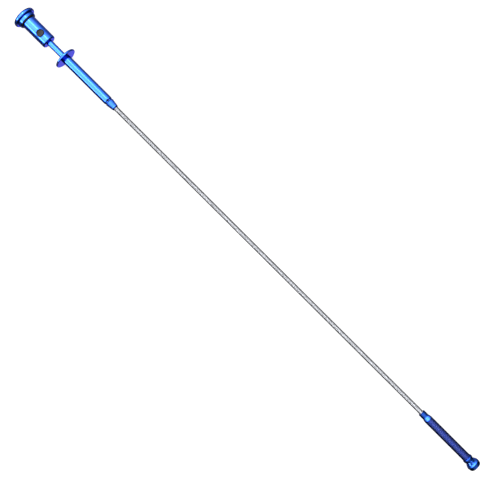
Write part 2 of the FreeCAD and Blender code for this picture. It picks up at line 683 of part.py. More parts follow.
def make_flexible_shaft(doc, size, at, shaft_start, cable_start):
    """The shaft and its push cable, cut into lengths at the places where they bend."""
    height, half_gap = at.axis_height, size.flex_gap / 2
    bore = size.shaft_diameter - size.shaft_wire * 2
    shaft_end = at.head + size.head_collar_straight + size.head_collar_flare + size.head_spigot / 2
    starts = [shaft_start] + [bend + half_gap for bend in at.bends]
    ends = [bend - half_gap for bend in at.bends] + [shaft_end]
    cable_starts = [cable_start] + starts[1:]
    cable_ends = ends[:-1] + [at.head]
    for number in range(FLEX_JOINTS + 1):
        tube(doc, f"flex_shaft_{number + 1}", bore, size.shaft_diameter,
             starts[number], ends[number] - starts[number], height)
        rod(doc, f"push_cable_{number + 1}", size.cable_diameter / 2,
            cable_starts[number], cable_ends[number] - cable_starts[number], height)


def make_head(doc, size, at):
    """The flared collar, the knurled sleeve's blank, the nose and its magnet."""
    height = at.axis_height
    straight, flare_end = size.head_collar_straight, size.head_collar_straight + size.head_collar_flare
    end = flare_end + size.head_spigot
    chamfer = size.head_collar_chamfer
    neck, sleeve = size.head_collar_diameter / 2, size.sleeve_diameter / 2
    spigot, socket = size.sleeve_bore / 2 - size.seat_fit, size.shaft_diameter / 2 + size.seat_fit
    way, socket_end = size.core_bore / 2, flare_end + size.head_spigot / 2 + size.running_fit
    corners = [
        (None, socket), (None, neck - chamfer), (chamfer, neck), (straight, neck),
        (flare_end, sleeve), (flare_end, spigot), (end, spigot), (end, way),
        (socket_end, way), (socket_end, socket)]
    turned(doc, "head_collar", corners, at.head, height)
    bore, thread = size.sleeve_bore / 2, size.sleeve_thread_diameter / 2
    length, thread_end = size.sleeve_length, size.sleeve_length + size.sleeve_thread_length
    corners = [(None, bore), (None, sleeve), (length, sleeve), (length, thread),
               (thread_end, thread), (thread_end, bore)]
    turned(doc, "head_sleeve", corners, at.sleeve, height)
    make_nose(doc, size, at)
    magnet_bore, magnet_outer = size.magnet_bore / 2, size.magnet_diameter / 2
    thick, bevel = size.magnet_thickness, size.magnet_bevel
    corners = [(None, magnet_bore), (None, magnet_outer), (thick, magnet_outer),
               (thick, magnet_bore + bevel), (thick - bevel, magnet_bore)]
    turned(doc, "ring_magnet", corners, at.nose + size.nose_length - thick, height)


def make_nose(doc, size, at):
    """The bulbous nose: ring, groove, cone, round belly and a seat for the magnet."""
    ring, waist = size.nose_ring_diameter / 2, size.nose_waist_diameter / 2
    ring_end = size.nose_ring_length
    waist_end = ring_end + size.nose_waist_length
    flare_end = waist_end + size.nose_flare_length
    belly = flare_end + size.nose_belly
    end = size.nose_length
    shoulder = end - size.nose_shoulder
    flare, widest = size.nose_flare_diameter / 2, size.nose_diameter / 2
    shoulder_radius, face = size.nose_shoulder_diameter / 2, size.nose_face_diameter / 2
    socket = size.sleeve_thread_diameter / 2 + size.seat_fit
    socket_end = size.sleeve_thread_length + size.seat_fit
    seat = size.magnet_diameter / 2 + size.seat_fit
    seat_floor = end - size.magnet_thickness
    throat = size.nose_throat / 2
    belly_arc = size.nose_belly_radius
    corners = [
        (None, socket), (None, ring), (ring_end, ring), (ring_end, waist), (waist_end, waist),
        (flare_end, flare, (belly_arc, LEFT)), (belly, widest, (belly_arc, LEFT)),
        (shoulder, shoulder_radius, (size.nose_shoulder_radius, LEFT)), (end, face),
        (end, seat), (seat_floor, seat), (seat_floor, size.magnet_bore / 2),
        (socket_end, throat), (socket_end, socket)]
    turned(doc, "head_nose", corners, at.nose, at.axis_height)


def make_carrier(doc, size, at):
    """The piston that pushes the claws out, slotted for their roots."""
    radius, socket = size.sleeve_bore / 2 - size.running_fit, size.cable_diameter / 2 + size.seat_fit
    seat, length = size.lamp_diameter / 2 + size.seat_fit, size.carrier_length
    seat_floor, socket_end = length - size.lamp_seat, length - size.lamp_seat * 2
    corners = [
        (None, socket), (None, radius), (length, radius), (length, seat), (seat_floor, seat),
        (seat_floor, None), (socket_end, None), (socket_end, socket)]
    body = turned(doc, "claw_carrier", corners, at.carrier, at.axis_height)
    holes = new_sketch(body, "lead_hole", "YZ_Plane")
    circle_in(holes, size.lead_offset, None, size.lead_diameter / 2 + size.running_fit)
    first = cut(doc, body, holes, True)
    polar(doc, body, first, "lead_holes", 2)
    start = length - size.carrier_slot
    slot = new_sketch(body, "claw_slot", "YZ_Plane", start)
    slot_width = size.claw_wire / 2 + size.running_fit
    slot_foot = size.claw_circle / 2 - size.claw_wire / 2 - size.end_room
    rectangle_in(slot, slot_foot, radius + size.claw_wire, slot_width)
    slot_cut = cut(doc, body, slot, True)
    polar(doc, body, slot_cut, "claw_slots", CLAWS)
    body.Placement.Rotation = FreeCAD.Rotation(FreeCAD.Vector(1, 0, 0), FIRST_CLAW_ANGLE)
    doc.recompute()
    return body


def polar(doc, body, feature, name, count):
    """Repeat a cut round the tool's axis; the last repeat is the body's tip."""
    before = body.Shape.Volume
    pattern = body.newObject("PartDesign::PolarPattern", name)
    pattern.Originals = [feature]
    pattern.Axis = (origin_item(body, "X_Axis"), [""])
    pattern.Angle = TURN
    pattern.Occurrences = count
    body.Tip = pattern
    doc.recompute()
    if not body.Shape.Volume < before:
        raise RuntimeError(f"{name} cuts nothing more")
    return pattern


def make_claw(doc, size, at, number):
    """One spring-wire claw: a straight leg from its root and a hook turned in at its tip."""
    body = doc.addObject("PartDesign::Body", f"claw_{number + 1}")
    path = new_sketch(body, f"claw_path_{number + 1}", "XZ_Plane")
    radius, bend = size.claw_wire / 2, size.claw_bend
    leg = size.claw_length - bend - radius
    corner, hook = leg.value, size.claw_hook.value
    turn = FreeCAD.Vector(corner, -bend.value, 0)
    arc = Part.ArcOfCircle(
        Part.Circle(turn, FreeCAD.Vector(0, 0, 1), bend.value), 0, math.pi / 2)
    line = path.addGeometry(Part.LineSegment(FreeCAD.Vector(), FreeCAD.Vector(corner, 0, 0)), False)
    curve = path.addGeometry(arc, False)
    tip = FreeCAD.Vector(corner + bend.value, -bend.value, 0)
    end = path.addGeometry(Part.LineSegment(tip, tip - FreeCAD.Vector(0, hook, 0)), False)
    path.addConstraint(Sketcher.Constraint("Coincident", line, 1, -1, 1))
    path.addConstraint(Sketcher.Constraint("Horizontal", line))
    path.addConstraint(Sketcher.Constraint("Tangent", line, 2, curve, 2))
    path.addConstraint(Sketcher.Constraint("Tangent", curve, 1, end, 1))
    path.addConstraint(Sketcher.Constraint("Vertical", end))
    for index, kind, value in ((line, "DistanceX", leg), (end, "Distance", size.claw_hook)):
        ends = (index, 1, index, 2) if kind == "DistanceX" else (index,)
        constraint = path.addConstraint(Sketcher.Constraint(kind, *ends, value.value))
        path.setExpression(f"Constraints[{constraint}]", value.text)
    constraint = path.addConstraint(Sketcher.Constraint("Radius", curve, bend.value))
    path.setExpression(f"Constraints[{constraint}]", bend.text)
    section = new_sketch(body, f"claw_section_{number + 1}", "YZ_Plane")
    circle_in(section, None, None, radius)
    doc.recompute()
    pipe = body.newObject("PartDesign::AdditivePipe", f"claw_wire_{number + 1}")
    pipe.Profile = section
    pipe.Spine = (path, [])
    doc.recompute()
    angle = FIRST_CLAW_ANGLE + number * TURN / CLAWS
    spread = size.claw_circle / 2
    body.Placement.Rotation = FreeCAD.Rotation(FreeCAD.Vector(1, 0, 0), angle - 90.0)
    across, up = (spread * round(turning(math.radians(angle)), 9)
                  for turning in (math.cos, math.sin))
    for axis, value in (("x", at.claw_root), ("y", across), ("z", at.axis_height + up)):
        body.setExpression(f"Placement.Base.{axis}", value.text)
    return body


def make_lamp(doc, size, at):
    """The lamp between the claws, its leads, and the last length of push cable."""
    height, radius = at.axis_height, size.lamp_diameter / 2
    seat = at.carrier + size.carrier_length - size.lamp_seat
    shoulder = size.lamp_length - radius
    corners = [(None, None), (None, radius), (shoulder, radius, (radius, LEFT)),
               (size.lamp_length, None)]
    turned(doc, "lamp", corners, seat, height)
    behind = at.sleeve + size.head_spigot + size.end_room
    leads = lead_pair(doc, "lamp_leads", size, behind, seat - behind, height)
    leads.Placement.Rotation = FreeCAD.Rotation(FreeCAD.Vector(1, 0, 0), FIRST_CLAW_ANGLE)
    cable_start = at.head + size.end_room
    cable_end = at.carrier + size.carrier_length - size.lamp_seat * 2
    rod(doc, "push_cable_head", size.cable_diameter / 2, cable_start,
        cable_end - cable_start, height)


def make_tool(doc):
    """Every sub-part of the tool, from the thumb cap to the nose."""
    size = make_sheet(doc)
    add_diameters(size)
    at = make_stations(size)
    make_thumb_cap(doc, size, at)
    make_cap_seal(doc, size, at)
    make_battery_body(doc, size, at)
    make_battery_group(doc, size, at)
    stem_end, cable_end = make_plunger(doc, size, at)
    make_finger_flange(doc, size, at)
    make_barrel(doc, size, at)
    shaft_start = make_ferrule(doc, size, at)
    make_grub_screw(doc, size, at)
    coil_radius = (size.barrel_bore - size.spring_wire) / 2 - size.end_room
    wound(doc, "return_spring", size.spring_wire, coil_radius, size.spring_turns,
          stem_end + size.running_fit, at.ferrule - stem_end - size.running_fit * 2,
          at.axis_height)
    make_flexible_shaft(doc, size, at, shaft_start,
                        cable_end + size.plunger_travel + size.cable_room)
    make_head(doc, size, at)
    make_carrier(doc, size, at)
    for number in range(CLAWS):
        make_claw(doc, size, at, number)
    make_lamp(doc, size, at)


def is_sub_part(item):
    """A body, or a Part object that isn't a step towards another one."""
    if item.TypeId == "PartDesign::Body":
        return True
    helpers = ("Part::Helix", "Part::Circle")
    return item.TypeId.startswith("Part::") and item.TypeId not in helpers


def export(doc):
    """Check every object, then write one STEP file for each sub-part."""
    doc.recompute()
    failed = [item.Name for item in doc.Objects if {"Invalid", "Error"} & set(item.State)]
    if failed:
        raise RuntimeError(f"these objects failed: {failed}")
    sub_parts = [item for item in doc.Objects if is_sub_part(item)]
    bad = [item.Label for item in sub_parts if item.Shape.isNull() or not item.Shape.isValid()]
    if bad:
        raise RuntimeError(f"these shapes are empty or invalid: {bad}")
    os.makedirs("parts", exist_ok=True)
    for item in sub_parts:
        item.Shape.exportStep(f"parts/{item.Label}.step")
    print(f"{len(sub_parts)} sub-parts written")


document = FreeCAD.newDocument("PickupTool")
make_tool(document)
export(document)
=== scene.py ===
"""Looks of a flexible magnetic pickup tool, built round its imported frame.

The tool lies along X with its thumb cap at -X and its magnetic nose at +X, and its axis runs
level above the floor.  Each sub-assembly is a class whose fields are its own sizes in
millimetres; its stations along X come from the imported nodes.
"""

import json
import logging
import math
from dataclasses import dataclass
from enum import Enum
from typing import Callable, Dict, Iterable, List, Optional, Sequence, Tuple

import bpy
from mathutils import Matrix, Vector

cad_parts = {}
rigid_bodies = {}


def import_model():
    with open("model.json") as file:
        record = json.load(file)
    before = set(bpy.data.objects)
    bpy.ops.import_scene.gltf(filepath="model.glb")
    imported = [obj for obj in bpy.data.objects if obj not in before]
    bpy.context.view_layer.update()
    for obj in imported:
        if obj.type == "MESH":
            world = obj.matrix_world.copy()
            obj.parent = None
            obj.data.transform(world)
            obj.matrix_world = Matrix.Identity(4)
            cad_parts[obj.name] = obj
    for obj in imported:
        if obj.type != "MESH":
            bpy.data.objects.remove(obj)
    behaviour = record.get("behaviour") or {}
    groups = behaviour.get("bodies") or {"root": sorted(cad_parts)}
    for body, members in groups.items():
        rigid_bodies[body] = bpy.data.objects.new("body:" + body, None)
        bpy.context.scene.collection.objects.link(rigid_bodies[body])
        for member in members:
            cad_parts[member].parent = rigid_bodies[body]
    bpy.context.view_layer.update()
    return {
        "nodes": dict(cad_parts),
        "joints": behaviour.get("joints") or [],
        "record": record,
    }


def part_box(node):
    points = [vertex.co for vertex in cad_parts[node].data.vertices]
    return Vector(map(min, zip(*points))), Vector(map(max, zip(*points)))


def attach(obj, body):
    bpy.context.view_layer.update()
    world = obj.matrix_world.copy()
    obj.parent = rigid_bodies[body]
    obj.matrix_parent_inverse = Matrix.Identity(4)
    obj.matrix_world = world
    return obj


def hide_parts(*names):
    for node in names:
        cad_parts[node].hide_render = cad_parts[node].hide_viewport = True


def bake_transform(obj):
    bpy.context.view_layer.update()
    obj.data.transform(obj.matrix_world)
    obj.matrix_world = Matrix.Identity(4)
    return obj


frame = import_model()

LOG = logging.getLogger("pickup_tool")
MM = 0.001
HAIR = 1e-6
Station = Tuple[float, float]
Settings = Dict[str, object]


class Axis(Enum):
    """The way a turned piece's axis points."""

    ALONG = "X"
    UP = "Z"


# ---------------------------------------------------------------- materials


def linear(colour: str) -> Tuple[float, float, float, float]:
    """Turns an sRGB hex value to a linear colour.

    Args:
        colour: six hex digits after a hash sign.

    Returns:
        Linear red, green, blue and an alpha of one.
    """
    parts = [int(colour[i:i + 2], 16) / 255 for i in (1, 3, 5)]
    red, green, blue = (
        part / 12.92 if part <= 0.04045 else ((part + 0.055) / 1.055) ** 2.4
        for part in parts)
    return red, green, blue, 1.0


def add_node(tree: bpy.types.NodeTree, kind: str, settings: Optional[Settings] = None,
             links: Optional[Dict[str, bpy.types.NodeSocket]] = None) -> bpy.types.Node:
    """Adds one node with its settings and links.

    Args:
        tree: the node tree it goes into.
        kind: the node's type name.
        settings: values by name; a name that starts with a dot is a property of the node,
            any other one an input socket.
        links: output sockets by the name or number of the input they feed.

    Returns:
        The new node.
    """
    node = tree.nodes.new(kind)
    for name, value in (settings or {}).items():
        if name.startswith("."):
            setattr(node, name[1:], value)
        else:
            node.inputs[int(name) if name.isdigit() else name].default_value = value
    for name, source in (links or {}).items():
        tree.links.new(source, node.inputs[int(name) if name.isdigit() else name])
    return node


@dataclass(frozen=True)
class Finish:
    """A surface: what it is made of and how it was made.

    Attributes:
        name: the material's name.
        colour: its colour as sRGB hex.
        roughness: how matt it is.
        metallic: one for bare metal, nought for the rest.
        ior: index of refraction; a metal keeps the default.
        grain_mm: size of its finest marks, in millimetres along X, Y and Z.
        relief_mm: height of those marks.
        shade_change: how much its colour varies from place to place.
        gloss_change: how much its roughness varies.
        shine: strength of the reflection of anything but a metal.
    """

    name: str
    colour: str
    roughness: float
    metallic: float = 0.0
    ior: float = 1.5
    grain_mm: Tuple[float, float, float] = (1.0, 1.0, 1.0)
    relief_mm: float = 0.01
    shade_change: float = 0.08
    gloss_change: float = 0.1
    shine: float = 0.5

    def material(self) -> bpy.types.Material:
        """Makes the material.

        Returns:
            The new material.
        """
        made = bpy.data.materials.new(self.name)
        made.use_nodes = True
        tree = made.node_tree
        shader = tree.nodes["Principled BSDF"]
        shader.inputs["Base Color"].default_value = linear(self.colour)
        shader.inputs["Metallic"].default_value = self.metallic
        shader.inputs["Roughness"].default_value = self.roughness
        if self.metallic < 1.0:
            shader.inputs["IOR"].default_value = self.ior
            shader.inputs["Specular IOR Level"].default_value = self.shine
        self.detail(tree, shader)
        return made

    def grain(self, tree: bpy.types.NodeTree, scale: float = 1.0,
              detail: float = 3.0) -> bpy.types.NodeSocket:
        """Noise whose marks are as long as grain_mm says.

        Args:
            tree: the node tree.
            scale: makes the marks this many times larger.
            detail: how many finer layers it has.

        Returns:
            The noise's grey output.
        """
        place = add_node(tree, "ShaderNodeTexCoord")
        sizes = [1.0 / (length * MM * scale) for length in self.grain_mm]
        mapping = add_node(tree, "ShaderNodeMapping", {"Scale": sizes},
                           {"Vector": place.outputs["Object"]})
        noise = add_node(tree, "ShaderNodeTexNoise", {"Scale": 1.0, "Detail": detail},
                         {"Vector": mapping.outputs["Vector"]})
        return noise.outputs["Fac"]

    @staticmethod
    def by_radius(tree: bpy.types.NodeTree, radii_mm: Tuple[float, float],
                  levels: Tuple[float, float] = (0.0, 1.0)) -> bpy.types.NodeSocket:
        """A level that goes by the distance from the tool's axis.

        Args:
            tree: the node tree.
            radii_mm: the distances of the first and the last level.
            levels: the first and the last level.

        Returns:
            The level.
        """
        place = add_node(tree, "ShaderNodeTexCoord")
        flat = add_node(tree, "ShaderNodeVectorMath", {".operation": "MULTIPLY_ADD"},
                        {"0": place.outputs["Object"]})
        flat.inputs[1].default_value = (0.0, 1.0, 1.0)
        flat.inputs[2].default_value = (0.0, 0.0, -axis_height())
        radius = add_node(tree, "ShaderNodeVectorMath", {".operation": "LENGTH"},
                          {"0": flat.outputs["Vector"]})
        level = add_node(
            tree, "ShaderNodeMapRange",
            {"From Min": radii_mm[0] * MM, "From Max": radii_mm[1] * MM,
             "To Min": levels[0], "To Max": levels[1]}, {"Value": radius.outputs["Value"]})
        return level.outputs["Result"]

    def detail(self, tree: bpy.types.NodeTree, shader: bpy.types.Node) -> None:
        """Adds the surface's own marks: colour and gloss variation, and a fine relief.

        Args:
            tree: the node tree.
            shader: its principled shader.
        """
        patches = self.grain(tree, 6.0, 2.0)
        tones = add_node(tree, "ShaderNodeMix", {".data_type": "RGBA"}, {"0": patches})
        for number, share in ((6, 1.0 - self.shade_change), (7, 1.0 + self.shade_change)):
            tones.inputs[number].default_value = [
                min(1.0, part * share) for part in linear(self.colour)[:3]] + [1.0]
        tree.links.new(tones.outputs[2], shader.inputs["Base Color"])
        fine = self.grain(tree)
        gloss = add_node(
            tree, "ShaderNodeMapRange",
            {"To Min": self.roughness * (1.0 - self.gloss_change),
             "To Max": self.roughness * (1.0 + self.gloss_change)}, {"Value": fine})
        tree.links.new(gloss.outputs["Result"], shader.inputs["Roughness"])
        bump = add_node(tree, "ShaderNodeBump",
                        {"Strength": 0.5, "Distance": self.relief_mm * MM}, {"Height": fine})
        tree.links.new(bump.outputs["Normal"], shader.inputs["Normal"])


@dataclass(frozen=True)
class AnodisedFinish(Finish):
    """Aluminium, turned and polished, dyed and anodised: colour lies under a clear hard oxide."""

    oxide: float = 0.45
    oxide_roughness: float = 0.05
    oxide_ior: float = 1.6
    edge_colour: str = "#3C5CF0"

    def detail(self, tree: bpy.types.NodeTree, shader: bpy.types.Node) -> None:
        """Adds the clear oxide over the turned marks.

        Args:
            tree: the node tree.
            shader: its principled shader.
        """
        super().detail(tree, shader)
        shader.inputs["Specular Tint"].default_value = linear(self.edge_colour)
        shader.inputs["Coat Weight"].default_value = self.oxide
        shader.inputs["Coat Roughness"].default_value = self.oxide_roughness
        shader.inputs["Coat IOR"].default_value = self.oxide_ior


@dataclass(frozen=True)
class KnurledFinish(AnodisedFinish):
    """Anodised diamond knurl with painted light: its navy colour is painted shade in the grooves,
    and a pale colour is painted on the points as a highlight.
    """

    # Pale colour painted on the knurl's points as a highlight.
    point_highlight_colour: str = "#A3AEC8"
    groove_radius_mm: float = 4.17
    point_radius_mm: float = 4.26
    highlight_levels: Tuple[float, float] = (-0.4, 1.4)

    def detail(self, tree: bpy.types.NodeTree, shader: bpy.types.Node) -> None:
        """Adds the painted highlight on the points, by their distance from the tool's axis.

        Args:
            tree: the node tree.
            shader: its principled shader.
        """
        super().detail(tree, shader)
        base = shader.inputs["Base Color"].links[0].from_socket
        # Painted highlight: the points are mixed towards the pale colour, and the grooves keep the
        # navy painted shade.
        points = self.by_radius(tree, (self.groove_radius_mm, self.point_radius_mm), self.highlight_levels)
        highlight_share = add_node(tree, "ShaderNodeMath", {".operation": "MULTIPLY", ".use_clamp": True},
                          {"0": points, "1": self.grain(tree, 4.0)})
        mix = add_node(tree, "ShaderNodeMix", {".data_type": "RGBA"},
                       {"0": highlight_share.outputs["Value"], "6": base})
        mix.inputs[7].default_value = linear(self.point_highlight_colour)
        tree.links.new(mix.outputs[2], shader.inputs["Base Color"])


@dataclass(frozen=True)
class SpringWireFinish(Finish):
    """Drawn spring wire, close wound: its own pale grey on the crowns, with painted shade between
    the turns.
    """

    # Dark colour painted at the roots between the turns as shade.
    root_shade_colour: str = "#3A3B40"
    root_radius_mm: float = 2.02
    crown_radius_mm: float = 2.34

    def detail(self, tree: bpy.types.NodeTree, shader: bpy.types.Node) -> None:
        """Adds painted shade at the roots between the turns.

        Args:
            tree: the node tree.
            shader: its principled shader.
        """
        super().detail(tree, shader)
        base = shader.inputs["Base Color"].links[0].from_socket
        crown = self.by_radius(tree, (self.root_radius_mm, self.crown_radius_mm))
        mix = add_node(tree, "ShaderNodeMix", {".data_type": "RGBA"}, {"0": crown, "7": base})
        # Painted shade: the roots between the turns are darkened by their distance from the axis.
        mix.inputs[6].default_value = linear(self.root_shade_colour)
        tree.links.new(mix.outputs[2], shader.inputs["Base Color"])


@dataclass(frozen=True)
class ClearFinish(Finish):
    """Clear moulded acrylic."""

    clearness: float = 0.9

    def detail(self, tree: bpy.types.NodeTree, shader: bpy.types.Node) -> None:
        """Lets the light through.

        Args:
            tree: the node tree.
            shader: its principled shader.
        """
        super().detail(tree, shader)
        shader.inputs["Transmission Weight"].default_value = self.clearness


@dataclass(frozen=True)
class OpalFinish(Finish):
    """Opal acrylic sheet lit evenly from below, so that nothing on it throws a shadow."""

    glow: float = 0.9

    def detail(self, tree: bpy.types.NodeTree, shader: bpy.types.Node) -> None:
        """Adds the light that comes through the sheet.

        Args:
            tree: the node tree.
            shader: its principled shader.
        """
        super().detail(tree, shader)
        shader.inputs["Emission Color"].default_value = linear("#FFFFFF")
        shader.inputs["Emission Strength"].default_value = self.glow


# Marks left by a turning tool: close along the axis and long across it.
TURNED = (0.12, 3.0, 3.0)
FINISHES: Dict[str, Finish] = {
    # Deep blue at its edges, cyan to white where it shows a light.
    "blue_anodised": AnodisedFinish(
        "anodised_aluminium_polished_blue", "#2368EC", 0.16, 1.0, grain_mm=TURNED,
        relief_mm=0.0008, shade_change=0.05),
    # Navy painted in the grooves as shade, and a pale highlight painted on the points.
    "blue_knurled": KnurledFinish(
        "anodised_aluminium_knurled_blue", "#182A7C", 0.24, 1.0, grain_mm=(0.5, 0.5, 0.5),
        relief_mm=0.003, shade_change=0.12, oxide=0.1),
    # Soft black with hardly a shine.
    "black_rubber": Finish(
        "nitrile_rubber_moulded", "#08080C", 0.4, ior=1.52, grain_mm=(0.25, 0.25, 0.25),
        relief_mm=0.01, shine=0.28),
    # Pale grey crowns, with painted shade as dark lines between the turns.
    "spring_steel": SpringWireFinish(
        "spring_steel_drawn", "#D8DAE0", 0.24, 1.0, grain_mm=(0.3, 1.5, 1.5), relief_mm=0.002),
    # Bright wire, drawn lengthwise.
    "claw_steel": Finish(
        "spring_steel_drawn_claws", "#A8ABB2", 0.22, 1.0, grain_mm=(3.0, 0.2, 0.2),
        relief_mm=0.002),
    # Dull grey zinc over fine strands.
    "cable_steel": Finish(
        "galvanised_steel_stranded", "#8E9096", 0.35, 1.0, grain_mm=(0.6, 0.2, 0.2),
        relief_mm=0.03),
    # Warm grey metal, tumbled, so that its shine is a little broken.
    "nickel_plate": Finish(
        "nickel_plate_barrelled", "#C6C0B4", 0.18, 1.0, grain_mm=(0.4, 0.4, 0.4),
        relief_mm=0.002),
    # Yellow metal with turning lines.
    "brass": Finish(
        "brass_turned", "#C49A52", 0.28, 1.0, grain_mm=TURNED, relief_mm=0.002),
    # Near-black metal, slightly matt.
    "black_oxide_steel": Finish(
        "alloy_steel_black_oxide", "#1E1F24", 0.42, 1.0, grain_mm=(0.2, 0.2, 0.2),
        relief_mm=0.004),
    # Milky, waxy plastic.
    "natural_nylon": Finish(
        "nylon_turned", "#E4DFCF", 0.45, ior=1.53, grain_mm=TURNED, relief_mm=0.004),
    # Even black, half matt.
    "black_plastic": Finish(
        "abs_moulded_black", "#1B1B1D", 0.5, ior=1.54, grain_mm=(0.3, 0.3, 0.3),
        relief_mm=0.008),
    # Green solder mask with a low shine.
    "board_laminate": Finish(
        "epoxy_glass_board_masked", "#1E5A36", 0.35, ior=1.55, grain_mm=(0.4, 0.4, 0.4),
        relief_mm=0.01),
    # Smooth red sleeve.
    "lead_insulation": Finish(
        "pvc_extruded_red", "#A3231E", 0.4, ior=1.54, grain_mm=(2.0, 0.3, 0.3),
        relief_mm=0.004),
    # Clear dome that shows what is behind it.
    "lamp_lens": ClearFinish(
        "acrylic_moulded_clear", "#F2F6FF", 0.06, ior=1.49, grain_mm=(0.5, 0.5, 0.5),
        relief_mm=0.001),
}
MADE: Dict[str, bpy.types.Material] = {}


def finish_of(slot: str) -> bpy.types.Material:
    """The material of a finish, made when it is first asked for.

    Args:
        slot: the finish's key.

    Returns:
        Its material.
    """
    if slot not in MADE:
        MADE[slot] = FINISHES[slot].material()
    return MADE[slot]


# ---------------------------------------------------------------- bench work


def axis_height() -> float:
    """Height of the tool's axis above the floor, in metres."""
    low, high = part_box("barrel_tube")
    return (low.z + high.z) / 2


def clear_selection() -> None:
    """Deselects everything."""
    for item in bpy.context.selected_objects:
        item.select_set(False)


def take(piece: bpy.types.Object) -> None:
    """Makes a piece the only one selected and the active one.

    Args:
        piece: the object.
    """
    clear_selection()
    piece.select_set(True)
    bpy.context.view_layer.objects.active = piece


def settle(piece: bpy.types.Object) -> None:
    """Puts a piece's place, turn and scale into its mesh.

    Args:
        piece: the object.
    """
    take(piece)
    bpy.ops.object.transform_apply(location=True, rotation=True, scale=True)


def tidy_mesh(piece: bpy.types.Object, smooth_angle: float = 32.0) -> None:
    """Merges doubles, turns faces outwards and shades the mesh.

    Args:
        piece: the object.
        smooth_angle: edges blunter than this are shaded smooth, in degrees.
    """
    take(piece)
    bpy.ops.object.mode_set(mode="EDIT")
    bpy.ops.mesh.select_all(action="SELECT")
    bpy.ops.mesh.remove_doubles(threshold=1e-7)
    bpy.ops.mesh.normals_make_consistent(inside=False)
    bpy.ops.object.mode_set(mode="OBJECT")
    bpy.ops.object.shade_smooth_by_angle(angle=math.radians(smooth_angle))


def apply_modifier(piece: bpy.types.Object, kind: str, settings: Settings) -> None:
    """Adds a modifier with its settings and applies it.

    Args:
        piece: the object.
        kind: the modifier's type.
        settings: its properties.
    """
    take(piece)
    modifier = piece.modifiers.new(kind.lower(), kind)
    for name, value in settings.items():
        setattr(modifier, name, value)
    bpy.ops.object.modifier_apply(modifier=modifier.name)


def break_edges(piece: bpy.types.Object, width_mm: float, segments: int = 2,
                angle: float = 40.0) -> None:
    """Rounds a piece's sharp edges a little.

    Args:
        piece: the object.
        width_mm: how far back from the edge.
        segments: faces across the rounding.
        angle: edges sharper than this are rounded, in degrees.
    """
    apply_modifier(piece, "BEVEL", {
        "width": width_mm * MM, "segments": segments, "limit_method": "ANGLE",
        "angle_limit": math.radians(angle), "use_clamp_overlap": True})


def rounding(start: Station, end: Station, centre: Station, steps: int = 5) -> List[Station]:
    """Stations along a short arc of an outline, its ends left out.

    Args:
        start: where the arc starts.
        end: where it ends.
        centre: its centre.
        steps: how many chords it is cut into.

    Returns:
        The stations between its ends.
    """
    first = math.atan2(start[1] - centre[1], start[0] - centre[0])
    last = math.atan2(end[1] - centre[1], end[0] - centre[0])
    turn = (last - first + math.pi) % (2 * math.pi) - math.pi
    reach = math.hypot(start[0] - centre[0], start[1] - centre[1])
    return [(centre[0] + reach * math.cos(first + turn * n / steps),
             centre[1] + reach * math.sin(first + turn * n / steps)) for n in range(1, steps)]


def bulge(start: Station, end: Station, rise: float, steps: int = 6) -> List[Station]:
    """Stations along an outward bulge between two stations, its ends left out.

    Args:
        start: where it starts.
        end: where it ends.
        rise: how far its middle stands out from the straight line.
        steps: how many chords it is cut into.

    Returns:
        The stations between its ends.
    """
    along, up = end[0] - start[0], end[1] - start[1]
    length = math.hypot(along, up)
    out = (-up / length, along / length)
    return [(start[0] + along * n / steps + out[0] * rise * 4 * n * (steps - n) / steps ** 2,
             start[1] + up * n / steps + out[1] * rise * 4 * n * (steps - n) / steps ** 2)
            for n in range(1, steps)]


